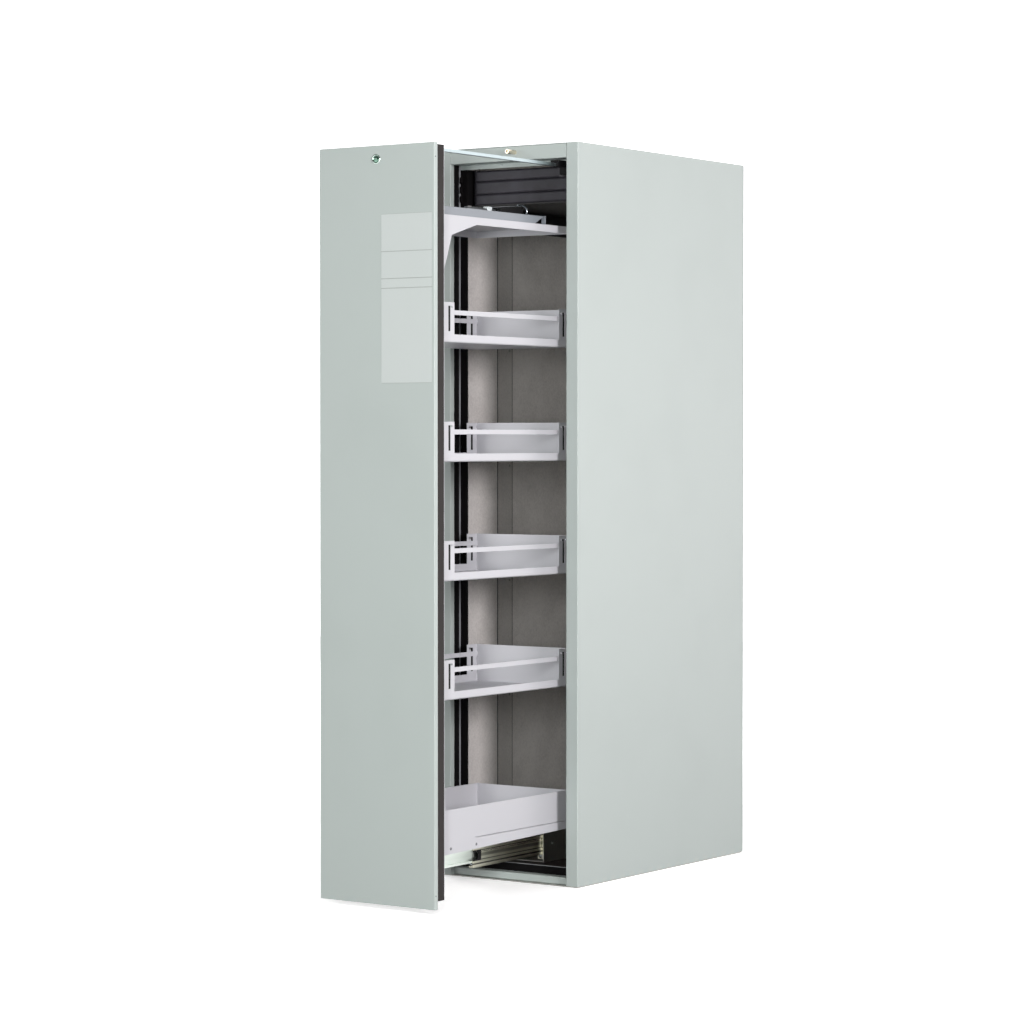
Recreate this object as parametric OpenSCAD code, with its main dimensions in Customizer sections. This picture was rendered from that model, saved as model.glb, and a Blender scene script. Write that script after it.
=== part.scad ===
// Fire-resistant storage cabinet with one full-height pull-out drawer on telescopic slides.
// Origin: centre of the cabinet's footprint on the floor. +X right seen from the front,
// +Y towards the back wall, +Z up. The drawer is modelled pulled out, as it stands in use.

/* [Cabinet body] */
// Outside width of the cabinet
body_w = 450; // [430:5:520]
// Outside depth of the cabinet, without the opened drawer
body_d = 860; // [820:5:960]
// Outside height of the cabinet
body_h = 1966; // [1900:2:2050]
// Steel sheet of the outer casing
skin_t = 1.5; // [1:0.1:2]
// Outer radius of the bends in the casing sheet
bend_r = 2.5; // [2.2:0.1:4]
// Width of the jamb's front face beside the opening
jamb_w = 37.5; // [30:0.5:42]
// Depth of the jamb's folded return
jamb_return = 16; // [12:1:18]
// Height of the front rail above the opening
top_rail_h = 40; // [32:1:46]
// Drop of the closing lip behind the top rail
rail_lip_h = 12; // [8:1:14]
// Height of the sill rail below the opening
sill_h = 22; // [18:1:24]
// How far the sill rail stands back from the jamb faces
sill_set = 16; // [14:1:18]
// Shadow gap between the casing sheet and the floor
skin_foot = 3; // [2:0.5:5]
// Thickness of the base pan that stands on the floor
base_pan_t = 3; // [2:0.5:5]

/* [Insulated walls] */
// Width of the rebate's step from the jamb in to the lining
rebate_step = 23; // [20:0.5:26]
// Depth of the rebate that takes the closed drawer front
rebate_d = 51.3; // [50:0.1:56]
// Whole thickness of the back wall
rear_wall_t = 80; // [60:1:100]
// Whole thickness of the floor
floor_t = 44; // [40:1:46]
// Whole thickness of the head above the storage space
head_t = 148; // [144:1:160]
// Thickness of the board directly under the roof
roof_board_t = 32; // [28:1:36]
// Thickness of the inner lining boards
lining_t = 3; // [2:0.5:4]
// Distance of the lining's upright joint behind the front plane
lining_joint_y = 203; // [150:1:300]
// Width and depth of the lining's joint line
lining_joint_w = 1; // [0.5:0.1:1.5]
// Width of the expanding fire strip in the jamb
strip_w = 21; // [16:1:24]
// Distance of the fire strip behind the front plane
strip_y = 18.5; // [17:0.5:20]
// Thickness of the compressible gasket
gasket_t = 4; // [3:0.5:5]

/* [Head block] */
// Depth of the ribbed block that closes the head
head_block_d = 44; // [30:1:60]
// Distance of the ribbed block behind the front plane
head_block_y = 66; // [65:1:70]
// Height of the lowest rib
rib_low_h = 29; // [24:1:32]
// Height of the middle rib
rib_mid_h = 35; // [30:1:38]
// Height of the top rib
rib_top_h = 29; // [24:1:32]
// Radius of the ribs' long edges
rib_edge_r = 6; // [3:1:9]
// Radius of the ribs' rounded ends
rib_end_r = 20; // [10:1:30]

/* [Drawer front] */
// Gap between the drawer front and each jamb
front_gap = 6.5; // [4:0.5:8]
// Gap between the drawer front and the top rail
front_top_gap = 4.2; // [3:0.1:6]
// Height of the drawer front's lower edge above the floor
front_foot = 11; // [8:1:14]
// Depth of the front sheet's folded edge
front_return = 13; // [10:1:14]
// Step from the front sheet's edge in to the fire board, at the sides and top
core_step = 4; // [3:0.5:8]
// Step from the front sheet's lower edge up to the fire board
core_foot_step = 20; // [16:1:24]
// Depth of the drawer front up to the back of the fire board
core_d = 47; // [40:0.5:47]
// Step from the front sheet's edge in to the inner plate
plate_step = 21; // [20:0.5:26]
// Depth of the inner plate behind the fire board
plate_d = 15; // [10:1:18]

/* [Lock] */
// Height of the lock's centre below the front sheet's upper edge
lock_drop = 34; // [30:1:45]
// Outer radius of the lock's rose
lock_rose_r = 13; // [11:0.5:16]
// Radius of the turning lock plug
lock_plug_r = 9; // [7:0.5:10]
// Depth of the lock body behind the front plane
lock_body_d = 28; // [24:1:32]
// Length of the lock cam from the plug's axis
cam_l = 47; // [45:1:50]
// Width of the lock cam
cam_w = 14; // [10:1:16]
// Thickness of the lock cam
cam_t = 4; // [3:0.5:5]

/* [Drawer chassis] */
// Gap between the drawer chassis and the lining at each side
chassis_gap = 14.5; // [12:0.5:20]
// Gap between the trays' rear edge and the back wall, closed
chassis_rear_gap = 131; // [100:1:180]
// Steel sheet of the chassis and trays
chassis_t = 1.5; // [1:0.1:2]
// Depth of the slotted uprights
upright_d = 20; // [15:1:24]
// Width of the slotted uprights
upright_w = 22; // [18:1:28]
// Distance of the top shelf's upper face below the roof
shelf_drop = 217; // [210:1:260]
// Height of the top shelf's side flange
shelf_flange_h = 19; // [15:1:24]
// Height of the base frame's upper face
base_z = 167; // [160:1:180]
// Height of the base flange's lower edge at the front
base_flange_front_z = 136; // [132:1:145]
// Height of the base flange's lower edge at the rear
base_flange_rear_z = 147; // [132:1:150]
// Reach of the corner gussets along the shelf and the base
gusset_reach = 163; // [120:1:200]
// Height of the upper gusset
gusset_top_h = 129; // [100:1:160]
// Height of the lower gusset
gusset_low_h = 141; // [110:1:170]
// Height of the closer's housing on the top shelf
housing_h = 22; // [16:1:28]
// Gap between the closer's housing and the trays' rear edge
housing_rear_gap = 103; // [70:1:280]
// Step from the chassis side in to the housing
housing_step = 10; // [6:1:20]

/* [Trays] */
// Distance of the top tray's rim below the shelf
tray_top_drop = 300; // [250:1:350]
// Distance of the lowest tray's rim above the bottom tray's rim
tray_low_rise = 298.5; // [250:0.5:350]
// Height of a tray's rim above its underside
tray_h = 21; // [16:1:26]
// Corner radius of the trays
tray_corner_r = 4; // [3:0.5:8]
// Height of the end brackets above the rim
bracket_h = 82; // [70:1:95]
// Length of the end brackets along the drawer
bracket_l = 46; // [36:1:60]
// Width of the brackets' slot
bracket_slot_w = 9; // [5:0.5:10]
// Distance of the slot from the bracket's outer end
bracket_slot_y = 20; // [12:1:24]
// Height of the rail's underside above the rim
rail_z = 49; // [40:1:60]
// Height of the rail's flat bar
rail_h = 12; // [8:1:16]
// Thickness of the rail's flat bar
rail_t = 3; // [2:0.5:4]
// Height of the sump tray at the bottom
sump_h = 82; // [60:1:100]
// Sheet of the sump tray
sump_t = 2; // [1.5:0.1:3]

/* [Telescopic slides] */
// Inside width of the floor channel that carries the slides
channel_w = 100; // [96:1:120]
// Sheet of the floor channel
channel_t = 3; // [2:0.5:4]
// Height of the floor channel's walls
channel_h = 98; // [94:1:100]
// Distance of the floor channel's front end behind the front plane
channel_y = 95; // [80:1:110]
// Gap between the slides' rear ends and the back wall
slide_rear_gap = 45; // [20:1:80]
// Length that the slides keep back at full pull-out
travel_loss = 60; // [50:1:200]
// Sheet of the slide members
slide_t = 2.5; // [2:0.1:3]
// Diameter of the bearing balls
ball_d = 11; // [10.5:0.1:11.2]
// Half height of the inner member's running face
inner_half = 17; // [15:0.5:19]
// Running clearance of the balls in their tracks
ball_fit = 0.06; // [0.02:0.01:0.1]
// Distance of the middle member's front end behind the front plane, closed
middle_y = 64; // [63:1:90]
// Length that a cage strip keeps back from half a slide member
cage_end = 20; // [20:1:60]
// Number of balls in each cage strip
ball_count = 6; // [4:1:8]
// Thickness of the cage strip
cage_t = 1.2; // [0.8:0.1:2]
// Height of the fixed members above the channel's floor
slide_lift = 6; // [4:0.5:8]

/* [Upper guide] */
// Distance of the guide bar's underside below the roof
guide_drop = 61; // [58:1:66]
// Height of the guide bar
guide_h = 8; // [6:0.5:10]
// Width of the guide bar
guide_w = 12; // [8:1:16]
// Gap between the guide bar's end and the trays' rear edge
guide_rear_gap = 69; // [40:1:120]
// Length of the slider at the guide bar's end
slider_l = 74; // [70:1:90]
// Distance of the slider's leg behind its front end
slider_leg_y = 43; // [30:1:60]
// Depth of the slider's leg below the bar
slider_leg = 19; // [14:1:20]

/* [Roof] */
// Outer diameter of the exhaust collar
collar_d = 75; // [70:1:80]
// Height of the exhaust collar above the roof
collar_h = 25; // [20:1:60]
// Wall of the exhaust collar
collar_t = 2; // [1.5:0.1:3]
// Distance of the exhaust collar from the rear of the cabinet
collar_y = 110; // [90:1:200]

/* [Hidden] */

// One overrun for every cut
over = 2;
// Gap between neighbouring pieces that slide past each other
slip = 0.3;
$fn = 48;

// Colours, as the object shows them
mint = [0.765, 0.804, 0.784];
white_coat = [0.93, 0.93, 0.94];
board_grey = [0.62, 0.61, 0.59];
lining_grey = [0.42, 0.41, 0.40];
lining_pale = [0.72, 0.72, 0.72];
near_black = [0.09, 0.09, 0.10];
seal_black = [0.05, 0.05, 0.05];
edge_brown = [0.28, 0.26, 0.27];
zinc = [0.80, 0.77, 0.66];
zinc_dark = [0.62, 0.62, 0.60];
bright_metal = [0.86, 0.87, 0.88];

// Places worked out from the driving sizes, seen from the front plane of the closed cabinet
half_w = body_w / 2;
jamb_x = half_w - jamb_w;
cavity_x = jamb_x - rebate_step;
lining_back_x = cavity_x + lining_t;
board_x = half_w - skin_t;
board_y = body_d - 2 * skin_t;
cavity_rear_y = body_d - rear_wall_t;
ceiling_z = body_h - head_t;
opening_z = body_h - top_rail_h;
lip_z = opening_z - rail_lip_h;
roof_board_z = body_h - skin_t - roof_board_t;
board_foot_z = base_pan_t;
slide_l = cavity_rear_y - slide_rear_gap - channel_y;
drawer_out = slide_l - travel_loss;

// Drawer chassis
chassis_x = cavity_x - chassis_gap;
chassis_l = cavity_rear_y - chassis_rear_gap;
shelf_z = body_h - shelf_drop;

// The channel in the head that the upper guide runs in
guide_x = chassis_x;
guide_z = body_h - guide_drop;
guide_l = chassis_l - guide_rear_gap - core_d;
guide_floor_z = guide_z - slider_leg - slip - chassis_t;
guide_channel_x = guide_x - guide_w - slip - chassis_t;

// Drawer front
front_x = jamb_x - front_gap;
front_top_z = opening_z - front_top_gap;
core_x = front_x - core_step;
core_top_z = front_top_z - core_step;
core_foot_z = front_foot + core_foot_step;
plate_x = front_x - plate_step;
plate_top_z = guide_z - skin_t;
plate_foot_z = floor_t + core_step;
plate_y = core_d + plate_d;

// Trays, shelf and closer
frame_y = plate_y;
tray_y = frame_y + upright_d;
tray_count = 4;
tray_top_z = shelf_z - tray_top_drop;
tray_span = tray_top_z - base_z - sump_h - tray_low_rise;
tray_pitch = tray_span / (tray_count - 1);
housing_l = chassis_l - frame_y - housing_rear_gap;
damper_r = 7;
damper_l = 130;
damper_rod_r = 3;
damper_rod_l = 60;
damper_x = 62;
damper_back = 246;
damper_y = frame_y + housing_l - damper_back;
damper_foot_w = 18;
damper_foot_l = 22;

// Slides: half heights of the running faces, from the inner member out
middle_inner_half = inner_half + ball_d;
middle_outer_half = middle_inner_half + slide_t;
fixed_inner_half = middle_outer_half + ball_d;
fixed_outer_half = fixed_inner_half + slide_t;
track_depth = ball_d / 8;
ball_r = ball_d / 2;
ball_gap = (slide_l / 2 - cage_end) / ball_count;
track_r = ball_r + ball_fit;
outer_ball_v = fixed_inner_half - ball_r;
inner_ball_v = middle_inner_half - ball_r;
channel_x = channel_w / 2;
slide_z = floor_t + channel_t + slide_lift + fixed_outer_half;
outer_ball_u = slide_t + track_r;
slide_w = outer_ball_u + track_r + slide_t;
middle_web_u = slide_t + slip + ball_fit;
inner_ball_u = middle_web_u + slide_t + track_r;
middle_share = 0.5;
outer_cage_share = 0.25;
inner_cage_share = 0.75;
web_half = inner_half - ball_d / 4;
stop_l = 37;
beam_x = channel_x - slide_w - slip;
beam_t = 3;
beam_foot_z = slide_z - inner_half;
beam_l = slide_l + middle_y;

// Small parts
slot_pitch = 50;
slot_h = 12;
slot_w = 4;
hole_ins = [49, 161];
hole_drop = 16.5;
hole_r = 3;
stud_r = 6;
stud_l = 36;
stud_x = 23;
stud_z_drop = 18;
stud_socket_r = 3.5;
stud_socket_d = 9;
keyway_w = 2.4;
keyway_h = 10;
keyway_d = 3;
rose_proud = 2;
duct_w = 90;
duct_d = 40;
duct_foot = 40;
duct_slot_h = 8;
duct_slot_gap = 22;
duct_slots = 6;
collar_flange_w = 14;
collar_flange_t = 2;

// Stands the cabinet's pieces on the shared origin
module at_body() {
    translate([0, -body_d / 2, 0]) children();
}

// Places what moves out with the drawer; share is 1 for the drawer itself
module at_travel(share) {
    translate([0, -body_d / 2 - drawer_out * share, 0]) children();
}

// A box between two values on each axis
module slab(x, y, z) {
    translate([x[0], y[0], z[0]])
        cube([x[1] - x[0], y[1] - y[0], z[1] - z[0]]);
}

// A plan outline raised between two heights
module raise(z) {
    translate([0, 0, z[0]]) linear_extrude(z[1] - z[0]) children();
}

// An outline drawn in depth and height, carried across between two places
module across(x) {
    translate([x[0], 0, 0]) rotate([90, 0, 90]) linear_extrude(x[1] - x[0]) children();
}

// An outline drawn in width and height, carried back between two places
module back(y) {
    translate([0, y[1], 0]) rotate([90, 0, 0]) linear_extrude(y[1] - y[0]) children();
}

// A round bar along the depth
module bar_y(x, z, y, r) {
    translate([x, y[0], z]) rotate([-90, 0, 0]) cylinder(h = y[1] - y[0], r = r);
}

// A rectangle between two values on each axis
module area(x, y) {
    translate([x[0], y[0]]) square([x[1] - x[0], y[1] - y[0]]);
}

// A rectangle with round corners
module round_area(x, y, r) {
    area([x[0] + r, x[1] - r], y);
    area(x, [y[0] + r, y[1] - r]);
    for (px = [x[0] + r, x[1] - r], py = [y[0] + r, y[1] - r])
        translate([px, py]) circle(r = r);
}

// The same piece on the other side
module left() {
    mirror([1, 0, 0]) children();
}

module both_sides() {
    children();
    left() children();
}

// Casing: one folded sheet per side with its jamb, return and rear flange
module side_skin() {
    y_end = body_d - skin_t;
    color(mint) at_body() raise([skin_foot, body_h - skin_t]) difference() {
        round_area([jamb_x, half_w], [0, y_end], bend_r);
        round_area([jamb_x + skin_t, half_w - skin_t], [skin_t, y_end - skin_t],
            bend_r - skin_t);
        area([jamb_x - over, jamb_x + bend_r], [jamb_return, y_end - skin_t]);
    }
}

module top_skin() {
    color(mint) at_body() difference() {
        raise([body_h - skin_t, body_h])
            round_area([-half_w, half_w], [0, body_d], bend_r);
        translate([0, body_d - collar_y, body_h - skin_t - over])
            cylinder(h = skin_t + 2 * over, r = collar_d / 2 + slip);
    }
}

module rear_skin() {
    color(mint) at_body()
        slab([-half_w, half_w], [body_d - skin_t, body_d], [skin_foot, body_h - skin_t]);
}

module base_pan() {
    pan_x = half_w - skin_t - slip;
    color(zinc_dark) at_body()
        slab([-pan_x, pan_x], [skin_t + slip, board_y], [0, base_pan_t]);
}

// Front rail over the opening, folded back and down into the closing lip
module top_rail() {
    lip_y = rebate_d - gasket_t / 4;
    color(mint) at_body() difference() {
        across([-jamb_x, jamb_x]) {
            difference() {
                round_area([0, jamb_return], [opening_z, body_h - skin_t], bend_r);
                area([skin_t, jamb_return + over], [opening_z + skin_t, body_h]);
            }
            area([bend_r, lip_y], [opening_z, opening_z + skin_t]);
            area([lip_y - skin_t, lip_y], [lip_z, opening_z + skin_t]);
        }
        bar_y(stud_x, body_h - stud_z_drop, [-over, skin_t + over], stud_r / 2 + slip);
        slab([-cam_w, cam_w], [lock_body_d - cam_t, lock_body_d + 3 * cam_t],
            [opening_z - over, opening_z + skin_t + over]);
        slab([guide_x - guide_w - slip, guide_x + guide_w + slip],
            [lip_y - skin_t - over, lip_y + over],
            [lip_z - over, guide_z + 2 * guide_h + slip]);
    }
}

module sill_rail() {
    color(mint) at_body() across([-jamb_x, jamb_x]) difference() {
        round_area([sill_set, rebate_d], [skin_foot, sill_h], bend_r);
        area([sill_set + skin_t, rebate_d + over], [skin_foot - over, sill_h - skin_t]);
    }
}

// Fire boards: the side board fills the jamb and forms the rebate's step
module insulation_side() {
    color(board_grey) at_body() raise([board_foot_z, roof_board_z]) {
        round_area([jamb_x + skin_t, board_x], [skin_t, board_y], bend_r - skin_t);
        area([lining_back_x, board_x], [rebate_d, board_y - skin_t]);
    }
}

module insulation_roof() {
    color(board_grey) at_body() difference() {
        raise([roof_board_z, body_h - skin_t])
            round_area([-board_x, board_x], [skin_t, board_y], bend_r - skin_t);
        bar_y(0, front_top_z - lock_drop, [lock_body_d - cam_t, lock_body_d + 3 * cam_t],
            cam_l + over);
        translate([0, body_d - collar_y, roof_board_z - over])
            cylinder(h = roof_board_t + 2 * over, r = collar_d / 2 + slip);
        bar_y(stud_x, body_h - stud_z_drop, [0, jamb_return + over], stud_r / 2 + slip);
        both_sides() slab([jamb_x, jamb_x + bend_r], [0, jamb_return],
            [roof_board_z - over, body_h]);
    }
}

// Lower head board, over the whole width
module insulation_head() {
    color(board_grey) at_body()
        slab([-lining_back_x, lining_back_x],
            [head_block_y + head_block_d, cavity_rear_y + lining_t],
            [ceiling_z, guide_floor_z]);
}

// Upper head board, which leaves the guide's channel free on the right
module insulation_head_top() {
    color(board_grey) at_body()
        slab([-lining_back_x, guide_channel_x],
            [head_block_y + head_block_d, cavity_rear_y + lining_t],
            [guide_floor_z, roof_board_z]);
}

module insulation_rear() {
    color(board_grey) at_body()
        slab([-lining_back_x, lining_back_x], [cavity_rear_y + lining_t, board_y],
            [board_foot_z, roof_board_z]);
}

module insulation_base() {
    sill_in = sill_h - skin_t;
    color(board_grey) at_body() {
        slab([-lining_back_x, lining_back_x], [rebate_d, cavity_rear_y + lining_t],
            [board_foot_z, floor_t - lining_t]);
        slab([-jamb_x, jamb_x], [sill_set + skin_t, rebate_d], [board_foot_z, sill_in]);
    }
}

// Lining boards, with the joint line that parts the front strip from the rest
module lining_side() {
    color(lining_grey) at_body() difference() {
        slab([cavity_x, lining_back_x], [rebate_d, cavity_rear_y + lining_t],
            [floor_t - lining_t, ceiling_z]);
        slab([cavity_x - over, cavity_x + lining_joint_w],
            [lining_joint_y, lining_joint_y + lining_joint_w],
            [floor_t - lining_t - over, ceiling_z + over]);
    }
}

module lining_rear() {
    color(lining_pale) at_body()
        slab([-cavity_x, cavity_x], [cavity_rear_y, cavity_rear_y + lining_t],
            [floor_t, ceiling_z - lining_t]);
}

module lining_ceiling() {
    color(lining_pale) at_body()
        slab([-cavity_x, cavity_x], [head_block_y, cavity_rear_y + lining_t],
            [ceiling_z - lining_t, ceiling_z]);
}

module lining_floor() {
    color(near_black) at_body()
        slab([-cavity_x, cavity_x], [rebate_d, cavity_rear_y + lining_t],
            [floor_t - lining_t, floor_t]);
}

// One rib of the head block: round ends in plan, round long edges in section
module head_rib(x, z) {
    y = [head_block_y, head_block_y + head_block_d];
    intersection() {
        raise(z) round_area(x, [y[0], y[1] + rib_end_r], rib_end_r);
        across(x) round_area([y[0], y[1] + rib_edge_r], z, rib_edge_r);
        slab(x, y, z);
    }
}

module head_block() {
    x = cavity_x - slip;
    z_mid = ceiling_z + rib_low_h;
    z_top = z_mid + rib_mid_h;
    spine_y = head_block_y + rib_edge_r;
    color(near_black) at_body() {
        head_rib([-x, x], [ceiling_z, z_mid]);
        head_rib([-x, x], [z_mid, z_top]);
        head_rib([-x, guide_channel_x], [z_top, z_top + rib_top_h]);
        slab([rib_end_r - x, guide_channel_x - rib_end_r],
            [spine_y, head_block_y + head_block_d], [ceiling_z, z_top + rib_top_h]);
    }
}

// Folded rail that lines the guide's channel in the head
module head_rail() {
    x = [guide_channel_x, cavity_x + lining_t];
    color(near_black) at_body() back([head_block_y, cavity_rear_y + lining_t]) difference() {
        area(x, [guide_floor_z, roof_board_z]);
        area([x[0] + chassis_t, x[1] + over],
            [guide_floor_z + chassis_t, roof_board_z - chassis_t]);
    }
}

// Expanding strips on the rebate's two sides
module fire_strips() {
    color(seal_black) at_body() both_sides()
        slab([jamb_x, jamb_x + skin_t], [strip_y, strip_y + strip_w],
            [sill_h, opening_z]);
}

// Bright edge strips between the fire strip and the gasket
module edge_trims() {
    color(bright_metal) at_body() both_sides()
        slab([jamb_x, jamb_x + skin_t], [strip_y + strip_w, rebate_d],
            [sill_h, opening_z]);
}

// Gasket on the rebate's step: both sides and the sill
module door_gasket() {
    y = [rebate_d - gasket_t, rebate_d];
    inner_x = cavity_x + lining_t / 2;
    color(seal_black) at_body() back(y) difference() {
        area([slip - jamb_x, jamb_x - slip], [sill_h, lip_z]);
        area([-inner_x, inner_x], [floor_t - lining_t / 2, lip_z + over]);
    }
}

// Air duct on the back wall with its intake slots near the floor
module vent_duct() {
    x = duct_w / 2;
    y = cavity_rear_y - duct_d;
    z = [floor_t + duct_foot, ceiling_z - lining_t];
    color(near_black) at_body() difference() {
        raise(z) difference() {
            round_area([-x, x], [y, cavity_rear_y], bend_r);
            round_area([chassis_t - x, x - chassis_t],
                [y + chassis_t, cavity_rear_y - chassis_t], bend_r - chassis_t);
        }
        for (i = [1:duct_slots])
            slab([-x / 2, x / 2], [y - over, y + chassis_t + over],
                [z[0] + i * duct_slot_gap, z[0] + i * duct_slot_gap + duct_slot_h]);
    }
}

// Collar on the roof for the exhaust pipe, with its flange
module exhaust_collar() {
    r = collar_d / 2;
    color(bright_metal) at_body() translate([0, body_d - collar_y, 0]) difference() {
        union() {
            translate([0, 0, roof_board_z]) cylinder(h = body_h + collar_h - roof_board_z, r = r);
            translate([0, 0, body_h]) cylinder(h = collar_flange_t, r = r + collar_flange_w);
        }
        translate([0, 0, roof_board_z + collar_t])
            cylinder(h = body_h + collar_h, r = r - collar_t);
    }
}

// Floor channel with an upright wall on each side for the slides
module slide_channel() {
    x = channel_x + channel_t;
    color(zinc_dark) at_body() back([channel_y, channel_y + slide_l]) difference() {
        area([-x, x], [floor_t, floor_t + channel_h]);
        area([-channel_x, channel_x], [floor_t + channel_t, body_h]);
    }
}

// The running tracks that rows of balls cut into a slide member, above and below
module ball_tracks(u, v) {
    for (side = [-1, 1]) translate([u, side * v]) circle(r = track_r);
}

// Sections of the slide members: u runs inwards from the channel wall, v up from the middle
module fixed_section() {
    face = fixed_inner_half - track_depth;
    mouth = middle_outer_half + track_depth + slip;
    difference() {
        area([0, slide_w], [-fixed_outer_half, fixed_outer_half]);
        area([slide_t, slide_w - slide_t], [-face, face]);
        area([slide_t, slide_w + over], [-mouth, mouth]);
        ball_tracks(outer_ball_u, outer_ball_v);
    }
}

module middle_section() {
    outer = middle_outer_half + track_depth;
    inner = middle_inner_half - track_depth;
    difference() {
        area([middle_web_u, slide_w - slip], [-outer, outer]);
        area([middle_web_u + slide_t, slide_w + over], [-inner, inner]);
        area([middle_web_u - over, middle_web_u + slide_t / 2], [-web_half, web_half]);
        ball_tracks(outer_ball_u, outer_ball_v);
        ball_tracks(inner_ball_u, inner_ball_v);
    }
}

module inner_section() {
    outer = inner_half + track_depth;
    hollow = inner_half - track_depth - slide_t;
    web = slide_w + slip;
    difference() {
        area([middle_web_u + slide_t + slip, web], [-outer, outer]);
        area([0, web - slide_t], [-hollow, hollow]);
        ball_tracks(inner_ball_u, inner_ball_v);
    }
}

// A slide member on the right-hand side of the floor channel
module slide_member(y, share) {
    at_travel(share) translate([channel_x, 0, slide_z]) mirror([1, 0, 0]) back(y) children();
}

module slide_fixed() {
    color(zinc_dark) slide_member([channel_y, channel_y + slide_l], 0) fixed_section();
}

module slide_middle() {
    color(zinc) difference() {
        slide_member([middle_y, middle_y + slide_l], middle_share) middle_section();
        at_travel(middle_share)
            slab([channel_x - middle_web_u - slide_t - slip, channel_x],
                [middle_y - over, middle_y + stop_l], [slide_z - web_half, slide_z + web_half]);
    }
}

module slide_inner() {
    color(zinc) slide_member([plate_y, plate_y + slide_l], 1) inner_section();
}

// Cages that hold the balls between two members, two strips a side
module ball_cage(y, u, v, share) {
    cage_w = ball_d - ball_d / 4;
    strip_l = ball_gap * ball_count;
    at_travel(share) both_sides() for (side = [-1, 1])
        translate([channel_x - u, y, slide_z + side * v]) {
            slab([-cage_w / 2, cage_w / 2], [0, strip_l], [-cage_t / 2, cage_t / 2]);
            for (i = [1:ball_count])
                translate([0, (i - middle_share) * ball_gap, 0]) sphere(r = ball_r);
        }
}

module ball_cages_outer() {
    y = channel_y + drawer_out * outer_cage_share + over;
    color(bright_metal) ball_cage(y, outer_ball_u, outer_ball_v, outer_cage_share);
}

module ball_cages_inner() {
    y = middle_y + drawer_out * outer_cage_share + over;
    color(bright_metal) ball_cage(y, inner_ball_u, inner_ball_v, inner_cage_share);
}

// Bright stud with a socket in its end, on the top rail
module release_stud() {
    z = body_h - stud_z_drop;
    color(bright_metal) at_body() difference() {
        union() {
            bar_y(stud_x, z, [-stud_l, 0], stud_r);
            bar_y(stud_x, z, [0, jamb_return], stud_r / 2);
        }
        bar_y(stud_x, z, [-stud_l - over, stud_socket_d - stud_l], stud_socket_r);
    }
}

// Drawer front: a folded pan, the fire board in it and the inner plate behind
module front_skin() {
    color(mint) at_travel(1) difference() {
        raise([front_foot, front_top_z]) difference() {
            round_area([-front_x, front_x], [0, front_return + bend_r], bend_r);
            area([-half_w, half_w], [front_return, front_return + bend_r + over]);
        }
        slab([skin_t - front_x, front_x - skin_t], [skin_t, front_return + over],
            [front_foot + skin_t, front_top_z - skin_t]);
        bar_y(0, front_top_z - lock_drop, [-over, skin_t + over], lock_plug_r + skin_t);
    }
}

module front_core() {
    pan_x = front_x - skin_t;
    lock_z = front_top_z - lock_drop;
    pocket_y = [lock_body_d - cam_t / 2, lock_body_d + 2 * cam_t];
    color(edge_brown) at_travel(1) difference() {
        union() {
            slab([-pan_x, pan_x], [skin_t, front_return], [front_foot + skin_t, front_top_z - skin_t]);
            slab([-core_x, core_x], [front_return, core_d - skin_t], [core_foot_z, core_top_z]);
            slab([chassis_t - plate_x, plate_x - chassis_t],
                [core_d - skin_t, plate_y - chassis_t],
                [plate_foot_z + chassis_t, plate_top_z - chassis_t]);
        }
        bar_y(0, lock_z, [0, pocket_y[1]], lock_plug_r + skin_t);
        intersection() {
            bar_y(0, lock_z, pocket_y, cam_l + over);
            slab([-cam_w, cam_l + over], pocket_y, [lock_z - cam_w, body_h]);
        }
    }
}

// Sheet folded over the fire board's back, which stands out into the storage space
module front_plate() {
    color(white_coat) at_travel(1) difference() {
        union() {
            slab([-core_x, core_x], [core_d - skin_t, core_d], [core_foot_z, core_top_z]);
            raise([plate_foot_z, plate_top_z]) difference() {
                round_area([-plate_x, plate_x], [core_d - bend_r, plate_y], bend_r);
                area([-half_w, half_w], [0, core_d]);
            }
        }
        slab([chassis_t - plate_x, plate_x - chassis_t],
            [core_d - skin_t - over, plate_y - chassis_t],
            [plate_foot_z + chassis_t, plate_top_z - chassis_t]);
    }
}

// Lock: the body stays in the front, the plug and its cam turn together
module lock_body() {
    z = front_top_z - lock_drop;
    color(bright_metal) at_travel(1) difference() {
        union() {
            bar_y(0, z, [-rose_proud, 0], lock_rose_r);
            bar_y(0, z, [0, lock_body_d - cam_t / 2], lock_plug_r + skin_t - slip);
        }
        bar_y(0, z, [-over - rose_proud, lock_body_d], lock_plug_r + ball_fit);
    }
}

module lock_plug() {
    z = front_top_z - lock_drop;
    color(zinc_dark) at_travel(1) difference() {
        bar_y(0, z, [-rose_proud, lock_body_d], lock_plug_r);
        slab([-keyway_w / 2, keyway_w / 2], [-rose_proud - over, keyway_d],
            [z - keyway_h / 2, z + keyway_h / 2]);
    }
}

module lock_cam() {
    z = front_top_z - lock_drop;
    y = [lock_body_d, lock_body_d + cam_t];
    color(bright_metal) at_travel(1) {
        bar_y(0, z, y, lock_plug_r);
        bar_y(cam_l - cam_w / 2, z, y, cam_w / 2);
        slab([0, cam_l - cam_w / 2], y, [z - cam_w / 2, z + cam_w / 2]);
    }
}

// Outline of the chassis side: one sheet with a gusset in each corner at the front
upper_gusset_shares = [[1, 0], [0.34, 0.24], [0.20, 0.72], [0.11, 1]];
lower_gusset_shares = [[0.11, 1], [0.17, 0.58], [0.27, 0.21], [1, 0]];

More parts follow.
